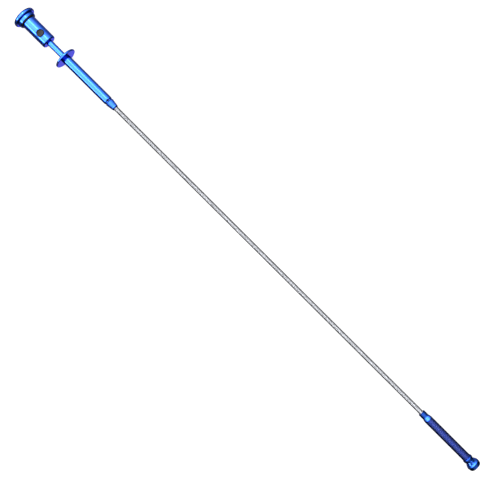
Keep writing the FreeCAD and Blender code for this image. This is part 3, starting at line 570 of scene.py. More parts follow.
@dataclass
class Lathe:
    """Turns outlines into round pieces, ring by ring.

    Attributes:
        centre: where an outline's nought station is.
        axis: which way the axis points.
        steps: corners in a ring.
        hold: how far from a corner of the outline its supporting ring is, in millimetres.
    """

    centre: Vector
    axis: Axis = Axis.ALONG
    steps: int = 96
    hold: float = 0.2

    def point(self, along_mm: float) -> Vector:
        """The point on the axis at a station."""
        way = Vector((1, 0, 0)) if self.axis is Axis.ALONG else Vector((0, 0, 1))
        return self.centre + way * along_mm * MM

    def extend(self, start: Station, end: Station) -> None:
        """Extrudes the selected ring from one station to the next.

        Args:
            start: the ring's station and radius.
            end: the next station and radius; a radius of nought closes it.
        """
        step = self.point(end[0]) - self.point(start[0])
        bpy.ops.mesh.extrude_region_move(TRANSFORM_OT_translate={"value": step})
        if end[1] == 0.0:
            bpy.ops.mesh.merge(type="CENTER")
        elif end[1] != start[1]:
            ratio = end[1] / start[1]
            scale = (1, ratio, ratio) if self.axis is Axis.ALONG else (ratio, ratio, 1)
            bpy.ops.transform.resize(value=scale, center_override=self.point(end[0]))

    def held(self, outline: Sequence[Station]) -> List[Station]:
        """Adds rings beside the ends of long straight runs, so that they shade flat.

        Args:
            outline: stations and radii.

        Returns:
            The outline with its supporting rings.
        """
        stations = [outline[0]]
        for start, end in zip(outline, outline[1:]):
            share = self.hold / max(math.dist(start, end), self.hold)
            if share < 0.2:
                stations += [(start[0] + (end[0] - start[0]) * part,
                              start[1] + (end[1] - start[1]) * part)
                             for part in (share, 1.0 - share)]
            stations.append(end)
        return stations

    def turn(self, name: str, outline: Sequence[Station]) -> bpy.types.Object:
        """Turns a closed outline, or one that starts and ends on the axis.

        Args:
            name: the piece's name.
            outline: stations and radii in millimetres, in order along the outline.

        Returns:
            The new piece.
        """
        stations = self.held(outline)
        on_axis = stations[0][1] == 0.0
        rings = stations[1:] if on_axis else stations + [stations[0]]
        clear_selection()
        tilt = (0.0, math.pi / 2, 0.0) if self.axis is Axis.ALONG else (0.0, 0.0, 0.0)
        bpy.ops.mesh.primitive_circle_add(
            vertices=self.steps, radius=rings[0][1] * MM, fill_type="NOTHING",
            location=self.point(rings[0][0]), rotation=tilt)
        piece = bpy.context.object
        piece.name = piece.data.name = name
        settle(piece)
        bpy.ops.object.mode_set(mode="EDIT")
        bpy.ops.mesh.select_all(action="SELECT")
        for start, end in zip(rings, rings[1:]):
            self.extend(start, end)
        if on_axis:
            bpy.ops.mesh.select_all(action="DESELECT")
            bpy.ops.mesh.select_mode(type="EDGE")
            bpy.ops.mesh.select_non_manifold(use_boundary=True, use_wire=False,
                                             use_multi_face=False, use_non_contiguous=False,
                                             use_verts=False)
            bpy.ops.mesh.select_mode(type="VERT")
            self.extend(rings[0], stations[0])
        bpy.ops.object.mode_set(mode="OBJECT")
        tidy_mesh(piece)
        return piece


@dataclass
class Winder:
    """Winds wire into coils round the tool's axis.

    Attributes:
        wire: the wire's diameter.
        coil: radius of the wire's middle line.
        corners: corners round the wire.
        steps_a_turn: rings in a turn.
    """

    wire: float
    coil: float
    corners: int = 10
    steps_a_turn: int = 24

    def wind(self, name: str, start: float, turns: int, pitch: float) -> bpy.types.Object:
        """Winds one coil from a circle of wire.

        Args:
            name: the piece's name.
            start: X of its first turn, in metres.
            turns: how many turns.
            pitch: advance of a turn, in metres.

        Returns:
            The new piece.
        """
        clear_selection()
        bpy.ops.mesh.primitive_circle_add(
            vertices=self.corners, radius=self.wire * MM / 2, fill_type="NOTHING",
            location=(0.0, 0.0, self.coil * MM), rotation=(math.pi / 2, 0.0, 0.0))
        piece = bpy.context.object
        piece.name = piece.data.name = name
        settle(piece)
        steps = self.steps_a_turn * turns
        apply_modifier(piece, "SCREW", {
            "axis": "X", "angle": 2 * math.pi * turns, "screw_offset": pitch * turns,
            "steps": steps, "render_steps": steps, "iterations": 1,
            "use_merge_vertices": False, "use_smooth_shade": True})
        piece.location = along_axis(start)
        settle(piece)
        bpy.ops.object.mode_set(mode="EDIT")
        bpy.ops.mesh.select_all(action="SELECT")
        bpy.ops.mesh.fill_holes(sides=self.corners)
        bpy.ops.object.mode_set(mode="OBJECT")
        tidy_mesh(piece, 60.0)
        return piece


def drill(piece: bpy.types.Object, centre: Vector, radius_mm: float, depth_mm: float,
          corners: int = 48) -> None:
    """Cuts an upright hole into a piece, from a point downwards.

    Args:
        piece: the object to cut.
        centre: top of the hole.
        radius_mm: its radius.
        depth_mm: its depth.
        corners: sides of the cutter; six cut a key socket.
    """
    clear_selection()
    bpy.ops.mesh.primitive_cylinder_add(
        vertices=corners, radius=radius_mm * MM, depth=depth_mm * MM,
        location=centre - Vector((0, 0, depth_mm * MM / 2)))
    cutter = bpy.context.object
    apply_modifier(piece, "BOOLEAN", {
        "operation": "DIFFERENCE", "solver": "EXACT", "object": cutter})
    bpy.data.objects.remove(cutter)


def hand_over(piece: bpy.types.Object, body: str, slot: str, nodes: Iterable[str] = (),
              finish: Optional[str] = None) -> bpy.types.Object:
    """Gives a finished piece its material, its body and the nodes it stands for.

    Args:
        piece: the object.
        body: the body it moves with.
        slot: the record's material slot.
        nodes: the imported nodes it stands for.
        finish: its finish, if not the slot's own.

    Returns:
        The piece.
    """
    piece.data.materials.clear()
    piece.data.materials.append(finish_of(finish or slot))
    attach(piece, body)
    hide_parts(*nodes)
    LOG.info("%s: %d faces on %s", piece.name, len(piece.data.polygons), body)
    return piece


def start_of(node: str) -> float:
    """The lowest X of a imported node, in metres."""
    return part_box(node)[0].x


def end_of(node: str) -> float:
    """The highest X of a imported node, in metres."""
    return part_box(node)[1].x


def along_axis(x: float) -> Vector:
    """The point on the tool's axis at an X in metres."""
    return Vector((x, 0.0, axis_height()))


# ---------------------------------------------------------------- handle


@dataclass
class ThumbCap:
    """Screw cap that the thumb pushes, and the seal behind it."""

    rim: float = 11.5
    disc: float = 4.0
    front_round: float = 1.5
    back_round: float = 1.4
    dish: float = 8.5
    dish_depth: float = 0.4
    neck_front: float = 9.15
    neck_back: float = 8.95
    neck_lip: float = 8.3
    neck_round: float = 0.3
    neck: float = 3.15
    groove: float = 8.65
    groove_width: float = 0.5
    edge: float = 0.3
    flash: float = 1.015
    spigot: float = 6.3
    length: float = 11.2
    pocket: float = 3.2
    pocket_floor: float = 8.2
    cord: float = 0.81
    seal_middle: float = 7.44

    def build(self) -> None:
        """Builds the cap and its O-ring."""
        lathe = Lathe(along_axis(start_of("thumb_cap")))
        front, back = self.front_round, self.back_round
        rim_start, rim_end = (0.0, self.rim - front), (front, self.rim)
        lip_start = (self.disc - back, self.rim)
        lip_end = (self.disc, self.rim - back)
        neck_end = self.disc + self.neck
        outline = [(self.dish_depth, 0.0)]
        outline += [(self.dish_depth * (1 - (share * share)), self.dish * share)
                    for share in (0.2, 0.4, 0.6, 0.8, 0.9)]
        outline += [(0.0, self.dish), rim_start]
        outline += rounding(rim_start, rim_end, (front, self.rim - front), 8)
        outline += [rim_end, lip_start]
        outline += rounding(lip_start, lip_end, (self.disc - back, self.rim - back), 5)
        shoulder = (neck_end - self.neck_round, self.neck_back)
        outline += [lip_end, (self.disc, self.groove), (self.disc + 0.2, self.groove),
                    (self.disc + self.groove_width, self.neck_front), shoulder]
        outline += bulge(shoulder, (neck_end, self.neck_lip), 0.1, 4)
        outline += [(neck_end, self.neck_lip), (neck_end, self.spigot),
                    (self.length - self.edge, self.spigot),
                    (self.length, self.spigot - self.edge), (self.length, self.pocket),
                    (self.pocket_floor, self.pocket), (self.pocket_floor, 0.0)]
        cap = lathe.turn("thumb_cap_disc", outline)
        hand_over(cap, "cap", "blue_anodised", ["thumb_cap"])
        self.seal(along_axis((start_of("cap_seal") + end_of("cap_seal")) / 2))

    def seal(self, centre: Vector) -> None:
        """Builds the O-ring, with the fine flash line its mould leaves.

        Args:
            centre: the ring's middle.
        """
        corners = 20
        outline = []
        for number in range(corners):
            turn = 2 * math.pi * number / corners
            reach = self.cord * (self.flash if number == corners // 4 else 1.0)
            outline.append((reach * math.cos(turn), self.seal_middle + reach * math.sin(turn)))
        ring = Lathe(centre).turn("cap_o_ring", outline)
        hand_over(ring, "cap_seal", "black_rubber", ["cap_seal"])


@dataclass
class BatteryBody:
    """Battery tube with its push button."""

    outer: float = 7.1
    bore: float = 6.4
    length: float = 27.8
    floor: float = 2.0
    end_round: float = 1.3
    stem_seat: float = 2.5
    mouth_round: float = 0.5
    button: float = 3.85
    button_room: float = 0.1
    button_foot: float = 3.2
    lip: float = 4.1
    lip_top: float = 3.8
    crown: float = 7.8
    crown_rise: float = 0.45
    crown_round: float = 0.35

    def build(self) -> None:
        """Builds the tube and the button."""
        start = start_of("battery_body")
        end, rounded = self.length, self.end_round
        lower = (end - rounded, self.outer)
        tip = (end, self.outer - rounded)
        soft = self.mouth_round
        mouth, side = (0.0, self.outer - soft), (soft, self.outer)
        outline = [(0.0, self.bore), mouth]
        outline += rounding(mouth, side, (soft, self.outer - soft), 4)
        outline += [side, (end / 2, self.outer), lower]
        outline += rounding(lower, tip, (end - rounded, self.outer - rounded), 8)
        outline += [tip, (end, self.stem_seat), (end - self.floor, self.stem_seat),
                    (end - self.floor, self.bore)]
        tube = Lathe(along_axis(start), steps=128).turn("battery_tube", outline)
        low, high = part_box("switch_button")
        centre = Vector(((low.x + high.x) / 2, 0.0, axis_height()))
        drill(tube, centre + Vector((0, 0, 0.02)), self.button + self.button_room, 20.0, 96)
        tidy_mesh(tube)
        hand_over(tube, "plunger", "blue_anodised", ["battery_body"])
        self.push_button(centre)

    def push_button(self, centre: Vector) -> None:
        """Builds the domed rubber button.

        Args:
            centre: the point on the tool's axis under it.
        """
        edge = self.crown - self.crown_rise
        soft = self.crown_round
        dome = (self.button ** 2 + self.crown_rise ** 2) / (2 * self.crown_rise)
        outline = [(self.button_foot, 0.0), (self.button_foot, self.lip), (self.lip_top, self.lip),
                   (self.lip_top, self.button), (edge - soft, self.button)]
        shoulder = (edge, self.button - soft)
        outline += rounding((edge - soft, self.button), shoulder,
                            (edge - soft, self.button - soft), 5)
        top = self.crown
        for share in (0.88, 0.7, 0.5, 0.3, 0.15):
            radius = self.button * share
            outline.append((top - dome + math.sqrt(dome * dome - radius * radius), radius))
        outline.append((top, 0.0))
        button = Lathe(centre, Axis.UP, 72).turn("push_button", outline)
        hand_over(button, "button", "black_rubber", ["switch_button"])


@dataclass
class PlungerStem:
    """Tube that slides in the barrel behind the battery body."""

    outer: float = 3.0
    spigot: float = 2.48
    thread: float = 2.2
    way: float = 1.3
    floor: float = 2.0
    collar: float = 3.0

    def build(self) -> None:
        """Builds the stem."""
        start, end = start_of("plunger_stem"), end_of("plunger_stem")
        length = (end - start) / MM
        shoulder = length - self.collar
        outline = [(0.0, self.way), (0.0, self.spigot), (self.floor, self.spigot),
                   (self.floor, self.outer), (shoulder / 2, self.outer), (shoulder, self.outer),
                   (shoulder, self.thread), (length, self.thread), (length, self.way)]
        stem = Lathe(along_axis(start), steps=72).turn("plunger_tube", outline)
        break_edges(stem, 0.12)
        tidy_mesh(stem)
        hand_over(stem, "plunger", "blue_anodised", ["plunger_stem"])


@dataclass
class FingerFlange:
    """Thin disc that two fingers pull against."""

    rim: float = 11.5
    thick: float = 2.0
    edge: float = 0.6
    seat: float = 3.45
    spigot: float = 3.88
    length: float = 9.0

    def build(self) -> None:
        """Builds the flange."""
        edge, rim, thick = self.edge, self.rim, self.thick
        outline = [(0.0, self.seat), (0.0, rim - edge)]
        outline += rounding((0.0, rim - edge), (edge, rim), (edge, rim - edge), 5)
        outline += [(edge, rim), (thick - edge, rim)]
        outline += rounding((thick - edge, rim), (thick, rim - edge), (thick - edge, rim - edge), 5)
        outline += [(thick, rim - edge), (thick, self.spigot), (self.length, self.spigot),
                    (self.length, self.seat)]
        disc = Lathe(along_axis(start_of("finger_flange")), steps=128).turn(
            "finger_disc", outline)
        hand_over(disc, "barrel", "blue_anodised", ["finger_flange"])


@dataclass
class Barrel:
    """Barrel tube with its crimped line, taper and rolled tip, and the grub screw in it."""

    outer: float = 4.5
    bore: float = 3.9
    crease: float = 57.4
    crease_depth: float = 0.5
    crease_half: float = 1.2
    step_down: float = 0.16
    taper_bore: float = 4.0
    rolled: float = 0.12
    taper_end: float = 64.8
    tip: float = 3.38
    end: float = 66.9
    passage: float = 2.5
    screw: float = 1.15
    screw_room: float = 0.06
    socket: float = 0.75
    socket_depth: float = 0.45
    screw_edges: Tuple[float, float] = (0.1, 0.12)

    def build(self) -> None:
        """Builds the tube and the screw."""
        start = start_of("barrel_tube")
        before, after = self.crease - self.crease_half, self.crease + self.crease_half
        outline = [(0.0, self.bore), (0.0, self.outer), (self.crease / 3, self.outer),
                   (self.crease * 2 / 3, self.outer), (before, self.outer)]
        taper, lip = (after, self.outer - self.step_down), (self.end, self.passage + self.rolled)
        outline += bulge((before, self.outer), taper, -self.crease_depth, 8)
        outline += [taper, (self.taper_end, self.tip)]
        outline += bulge((self.taper_end, self.tip), lip, 0.22, 7)
        outline += [lip, (self.end, self.passage), (self.taper_end, self.passage),
                    (self.taper_end - self.taper_bore, self.passage), (after, self.bore)]
        tube = Lathe(along_axis(start)).turn("barrel_sleeve", outline)
        low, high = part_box("grub_screw")
        head = Vector(((low.x + high.x) / 2, 0.0, high.z))
        drill(tube, head + Vector((0, 0, 0.004)), self.screw + self.screw_room, 6.0, 48)
        tidy_mesh(tube)
        hand_over(tube, "barrel", "blue_anodised", ["barrel_tube"])
        self.grub_screw(head, (high.z - low.z) / MM)

    def grub_screw(self, top: Vector, length: float) -> None:
        """Builds the socket screw.

        Args:
            top: middle of its upper face.
            length: its length in millimetres.
        """
        foot = top - Vector((0, 0, length * MM))
        foot_edge, edge = self.screw_edges
        outline = [(0.0, 0.0), (0.0, self.screw - foot_edge), (foot_edge, self.screw),
                   (length - edge, self.screw), (length, self.screw - edge), (length, 0.0)]
        screw = Lathe(foot, Axis.UP, 48).turn("socket_screw", outline)
        drill(screw, top + Vector((0, 0, 0.001)), self.socket, 1.0 + self.socket_depth, 6)
        tidy_mesh(screw)
        hand_over(screw, "barrel", "black_oxide_steel", ["grub_screw"])


@dataclass
class ReturnSpring:
    """Spring that shortens between the stop collar on the stem and the ferrule in the barrel."""

    wire: float = 0.6
    turns: int = 13

    def build(self) -> None:
        """Winds the spring over the length of the imported one."""
        low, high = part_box("return_spring")
        coil = (high.z - low.z) / MM / 2 - self.wire / 2
        start, end = low.x + self.wire * MM / 2, high.x - self.wire * MM / 2
        spring = Winder(self.wire, coil).wind(
            "compression_spring", start, self.turns, (end - start) / self.turns)
        spring.data.materials.append(finish_of("claw_steel"))
        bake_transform(spring)
        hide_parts("return_spring")
        LOG.info("%s: %d turns", spring.name, self.turns)


# ---------------------------------------------------------------- flexible shaft


@dataclass
class FlexibleShaft:
    """Close-wound shaft: straight coil pieces, one across each of the frame's hinges."""

    wire: float = 0.8
    coil: float = 2.0
    turns_between_bends: int = 66
    turns_at_ends: int = 88
    short_of_collar_end: float = 8.0
    clear_of_barrel: float = 1.0

    def bends(self) -> List[float]:
        """The X of each hinge of the shaft, in metres."""
        return [joint["pos_m"][0] for joint in frame["joints"]
                if joint["name"].startswith("flex_")]

    def bodies(self) -> List[str]:
        """The bodies along the shaft, from the barrel to the head."""
        joints = [joint for joint in frame["joints"] if joint["name"].startswith("flex_")]
        return [joints[0]["parent"]] + [joint["child"] for joint in joints]

    def build(self) -> None:
        """Winds the whole shaft, one piece across each bend."""
        bends, bodies = self.bends(), self.bodies()
        winder = Winder(self.wire, self.coil)
        step = (bends[-1] - bends[0]) / (len(bends) - 1)
        pitch = step / self.turns_between_bends
        middles = [(one + other) / 2 for one, other in zip(bends, bends[1:])]
        last = len(bends) - 1
        for number, bend in enumerate(bends):
            start = middles[number - 1] if number else middles[0] - self.turns_at_ends * pitch
            if number == last:
                turns = int((end_of("head_collar") - self.short_of_collar_end * MM - start) / pitch)
            else:
                turns = self.turns_between_bends if number else self.turns_at_ends
            coil = winder.wind(f"shaft_coil_{number + 1}", start, turns, pitch)
            nodes = [f"flex_shaft_{number + 1}"]
            if number == last:
                nodes.append(f"flex_shaft_{number + 2}")
            coil.data.materials.append(finish_of("spring_steel"))
            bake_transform(coil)
            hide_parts(*nodes)
            LOG.info("%s: %d turns", coil.name, turns)


# ---------------------------------------------------------------- head


@dataclass
class HeadCollar:
    """Collar that grips the shaft and flares to the sleeve."""

    neck: float = 3.5
    chamfer: float = 0.2
    straight: float = 5.1
    flare: float = 4.05
    sleeve: float = 4.25
    spigot: float = 3.1
    spigot_length: float = 8.0
    way: float = 1.45
    socket: float = 2.42
    edge: Station = (0.1, 0.08)

    def build(self) -> None:
        """Builds the collar."""
        end = self.straight + self.flare
        inner = end + self.spigot_length / 2
        outline = [(0.0, self.socket), (0.0, self.neck - self.chamfer),
                   (self.chamfer, self.neck), (self.straight / 2, self.neck),
                   (self.straight, self.neck)]
        outline += [(self.straight + self.flare * share, self.neck
                     + (self.sleeve - self.neck) * (3 * share * share - 2 * share ** 3))
                    for share in (0.15, 0.3, 0.5, 0.7, 0.85)]
        outline += [(end - self.edge[0], self.sleeve), (end, self.sleeve - self.edge[1]),
                    (end, self.spigot),
                    (end + self.spigot_length, self.spigot),
                    (end + self.spigot_length, self.way), (inner, self.way),
                    (inner, self.socket)]
        collar = Lathe(along_axis(start_of("head_collar")), steps=72).turn(
            "collar_flared", outline)
        hand_over(collar, "head", "blue_anodised", ["head_collar"])


@dataclass
class KnurledSleeve:
    """Sleeve with a diamond knurl between two plain bands."""

    radius: float = 4.25
    root: float = 4.17
    under: float = 3.95
    bore: float = 3.12
    band: float = 0.7
    edge: float = 0.15
    thread: float = 3.75
    thread_length: float = 4.0
    diamonds_round: int = 26
    pitch: float = 1.03
    proud: float = 0.02
    tuck: float = 0.1

    def build(self) -> None:
        """Builds the plain core and the knurled skin over it."""
        start, end = start_of("head_sleeve"), end_of("head_sleeve")
        length = (end - start) / MM - self.thread_length
        total = length + self.thread_length
        band, edge = self.band, self.edge
        outline = [(0.0, self.bore), (0.0, self.radius - edge), (edge, self.radius),
                   (band - edge, self.radius), (band, self.under),
                   (length - band, self.under), (length - band + edge, self.radius),
                   (length - edge, self.radius), (length, self.radius - edge),
                   (length, self.thread), (total, self.thread), (total, self.bore)]
        core = Lathe(along_axis(start), steps=96).turn("sleeve_core", outline)
        hand_over(core, "head", "blue_anodised", ["head_sleeve"])
        skin = self.knurl(start + band * MM, (length - band * 2) * MM)
        hand_over(skin, "head", "blue_knurled")

    def knurl(self, start: float, length: float) -> bpy.types.Object:
        """Makes the diamonds: a grid is poked into lozenges, and each lozenge to a point.

        Args:
            start: X of the knurl's first edge, in metres.
            length: its length, in metres.

        Returns:
            The knurled skin.
        """
        rows = round(length / (self.pitch * MM))
        clear_selection()
        bpy.ops.mesh.primitive_cylinder_add(
            vertices=self.diamonds_round, radius=self.root * MM, depth=length,
            end_fill_type="NOTHING", location=along_axis(start + length / 2),
            rotation=(0.0, math.pi / 2, 0.0))
        skin = bpy.context.object
        skin.name = skin.data.name = "sleeve_knurl"
        settle(skin)
        self.pick_edges(skin, lambda one, other: abs(one.x - other.x) > length / 2)
        bpy.ops.mesh.subdivide(number_cuts=rows - 1)
        bpy.ops.mesh.select_all(action="SELECT")
        corners = self.count(skin)
        bpy.ops.mesh.poke(offset=0.0)
        bpy.ops.object.mode_set(mode="OBJECT")
        first, last = start + HAIR, start + length - HAIR
        self.pick_edges(skin, lambda one, other: not (
            max(one.x, other.x) < first or min(one.x, other.x) > last), corners)
        bpy.ops.mesh.dissolve_edges(use_verts=False)
        bpy.ops.mesh.select_all(action="SELECT")
        bpy.ops.mesh.poke(offset=(self.radius - self.root + self.proud) * MM)
        bpy.ops.object.mode_set(mode="OBJECT")
        take(skin)
        bpy.ops.object.mode_set(mode="EDIT")
        bpy.ops.mesh.select_all(action="DESELECT")
        bpy.ops.mesh.select_mode(type="EDGE")
        bpy.ops.mesh.select_non_manifold(use_wire=False, use_multi_face=False,
                                         use_non_contiguous=False, use_verts=False)
        bpy.ops.mesh.extrude_region_move(TRANSFORM_OT_translate={"value": (0, 0, 0)})
        shrink = (self.under - self.tuck) / self.root
        bpy.ops.transform.resize(value=(1, shrink, shrink),
                                 center_override=along_axis(start))
        bpy.ops.mesh.bridge_edge_loops()
        bpy.ops.mesh.select_mode(type="VERT")
        bpy.ops.object.mode_set(mode="OBJECT")
        tidy_mesh(skin, 5.0)
        return skin

    @staticmethod
    def count(skin: bpy.types.Object) -> int:
        """How many corners the mesh in edit mode has now."""
        skin.update_from_editmode()
        return len(skin.data.vertices)

    @staticmethod
    def pick_edges(skin: bpy.types.Object, wanted: Callable[[Vector, Vector], bool],
                   below: Optional[int] = None) -> None:
        """Selects edges by where their ends are, and stays in edit mode.

        Args:
            skin: the object.
            wanted: says from an edge's two ends whether it is picked.
            below: only edges whose corners' numbers are below this.
        """
        take(skin)
        bpy.ops.object.mode_set(mode="EDIT")
        bpy.ops.mesh.select_all(action="DESELECT")
        bpy.ops.mesh.select_mode(type="EDGE")
        bpy.ops.object.mode_set(mode="OBJECT")
        mesh = skin.data
        for edge in mesh.edges:
            one, other = edge.vertices
            if below is not None and max(one, other) >= below:
                continue
            edge.select = wanted(mesh.vertices[one].co, mesh.vertices[other].co)
        bpy.ops.object.mode_set(mode="EDIT")


@dataclass
class Nose:
    """Bulbous nose with the ring magnet in its mouth."""

    length: float = 12.1
    ring: float = 4.85
    ring_length: float = 2.5
    ring_round: float = 0.35
    waist: float = 4.32
    waist_length: float = 1.4
    cone: float = 3.3
    cone_end: float = 6.22
    belly: float = 6.5
    belly_length: float = 1.1
    shoulder: float = 6.26
    shoulder_length: float = 1.9
    magnet_edge: float = 0.12
    face: float = 5.6
    seat: float = 5.42
    magnet: float = 5.4
    magnet_bore: float = 4.2
    magnet_thick: float = 3.0
    bevel: float = 0.4
    throat: float = 3.2
    socket: float = 3.77
    socket_length: float = 4.02

    def build(self) -> None:
        """Builds the nose and its magnet."""
        start = start_of("head_nose")
        soft, ring_end = self.ring_round, self.ring_length
        waist_end = ring_end + self.waist_length
        cone_end = waist_end + self.cone
        belly = cone_end + self.belly_length
        shoulder = (self.length - self.shoulder_length, self.shoulder)
        rim = (self.length, self.face)
        outline = [(0.0, self.socket), (0.0, self.ring - soft)]
        outline += rounding((0.0, self.ring - soft), (soft, self.ring), (soft, self.ring - soft))
        outline += [(soft, self.ring)]
        outline += bulge((soft, self.ring), (ring_end - soft, self.ring), 0.05, 4)
        outline += [(ring_end - soft, self.ring)]
        outline += rounding((ring_end - soft, self.ring), (ring_end, self.ring - soft),
                            (ring_end - soft, self.ring - soft), 3)
        foot, rise = (waist_end + 0.35, self.waist + 0.2), (cone_end, self.cone_end)
        outline += [(ring_end + 0.08, self.ring - soft - 0.05), (waist_end, self.waist), foot]
        outline += bulge(foot, rise, 0.12, 6)
        outline += [rise]
        outline += bulge(rise, (belly, self.belly), 0.03, 4)
        outline += [(belly, self.belly)]
        outline += bulge((belly, self.belly), shoulder, 0.05, 5)
        outline += [shoulder]
        outline += bulge(shoulder, rim, 0.16, 7)
        outline += [rim, (self.length, self.seat), (self.length - self.magnet_thick, self.seat),
                    (self.length - self.magnet_thick, self.magnet_bore),
                    (self.socket_length, self.throat), (self.socket_length, self.socket)]
        nose = Lathe(along_axis(start), steps=112).turn("nose_bulb", outline)
        hand_over(nose, "head", "blue_anodised", ["head_nose"])
        thick, bevel = self.magnet_thick, self.bevel
        face = start + (self.length - thick) * MM
        edge = self.magnet_edge
        outline = [(0.0, self.magnet_bore), (0.0, self.magnet), (thick - edge, self.magnet),
                   (thick, self.magnet - edge), (thick, self.magnet_bore + bevel),
                   (thick - bevel, self.magnet_bore)]
        magnet = Lathe(along_axis(face), steps=96).turn("magnet_ring", outline)
        hand_over(magnet, "head", "nickel_plate", ["ring_magnet"])


@dataclass
class Claws:
    """Sprung wire claws, and the lamp between them."""

    wire: float = 0.4
    length: float = 16.5
    bend: float = 0.9
    hook: float = 0.3
    lamp: float = 1.5
    lamp_length: float = 5.0
    flange: float = 1.62
    flange_length: float = 0.9
    root_bevel: float = 0.2
    root_share: float = 0.8
    leg_steps: int = 6
    bend_steps: int = 10
    tip_round: float = 0.08

    def claw(self, name: str) -> bpy.types.Object:
        """Bends one claw along X from the origin, its hook turned towards -Z.

        Args:
            name: the piece's name.

        Returns:
            The claw, still at the origin.
        """
        leg = self.length - self.bend - self.wire
        root = self.root_bevel * self.wire
        clear_selection()
        bpy.ops.mesh.primitive_circle_add(
            vertices=20, radius=self.wire * MM * self.root_share, fill_type="NGON",
            rotation=(0.0, math.pi / 2, 0.0))
        claw = bpy.context.object
        claw.name = claw.data.name = name
        settle(claw)
        bpy.ops.object.mode_set(mode="EDIT")
        bpy.ops.mesh.select_all(action="SELECT")
        bpy.ops.mesh.extrude_region_move(
            TRANSFORM_OT_translate={"value": (root * MM, 0, 0)})
        full = 1 / self.root_share
        bpy.ops.transform.resize(value=(1, full, full), center_override=(0, 0, 0))
        for _ in range(self.leg_steps):
            bpy.ops.mesh.extrude_region_move(
                TRANSFORM_OT_translate={"value": ((leg - root) * MM / self.leg_steps, 0, 0)})
        bpy.ops.mesh.spin(steps=self.bend_steps, angle=math.pi / 2,
                          center=(leg * MM, 0, -self.bend * MM), axis=(0, 1, 0))
        bpy.ops.mesh.extrude_region_move(
            TRANSFORM_OT_translate={"value": (0, 0, -self.hook * MM)})
        bpy.ops.object.mode_set(mode="OBJECT")
        break_edges(claw, self.tip_round, 2, 60.0)
        tidy_mesh(claw, 40.0)
        return claw

    def build(self) -> None:
        """Builds the claws and the lamp."""
        joints = [joint for joint in frame["joints"] if joint["name"].startswith("claw_open_")]
        for number, joint in enumerate(joints, start=1):
            root = Vector(joint["pos_m"])
            out = root - along_axis(root.x)
            claw = self.claw(f"claw_wire_{number}")
            claw.rotation_euler = (math.atan2(-out.y, out.z), 0.0, 0.0)
            claw.location = root
            settle(claw)
            hand_over(claw, joint["child"], "spring_steel", [f"claw_{number}"], "claw_steel")
        self.light()

    def light(self) -> None:
        """Builds the domed lamp."""
        length, radius = self.lamp_length, self.lamp
        side = (length - radius, radius)
        outline = [(0.0, 0.0), (0.0, self.flange), (self.flange_length, self.flange),
                   (self.flange_length + 0.05, radius), side]
        outline += rounding(side, (length, 0.0), (length - radius, 0.0), 8)
        outline += [(length, 0.0)]
        lamp = Lathe(along_axis(start_of("lamp")), steps=48).turn("lamp_lens_dome", outline)
        hand_over(lamp, "claw_carriage", "lamp_lens", ["lamp"])


# ---------------------------------------------------------------- inside pieces and studio


def dress_packed_nodes() -> None:
    """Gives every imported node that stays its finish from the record."""
    slots = {row["node"]: row["material_slot"] for row in frame["record"]["subparts"]}
    for name, node in frame["nodes"].items():
        if node.hide_render:
            continue
        slot = slots[name]
        finish = "claw_steel" if slot == "spring_steel" else slot
        node.data.materials.clear()
        node.data.materials.append(finish_of(finish))
        LOG.info("%s keeps its packed shape, %s", name, finish)


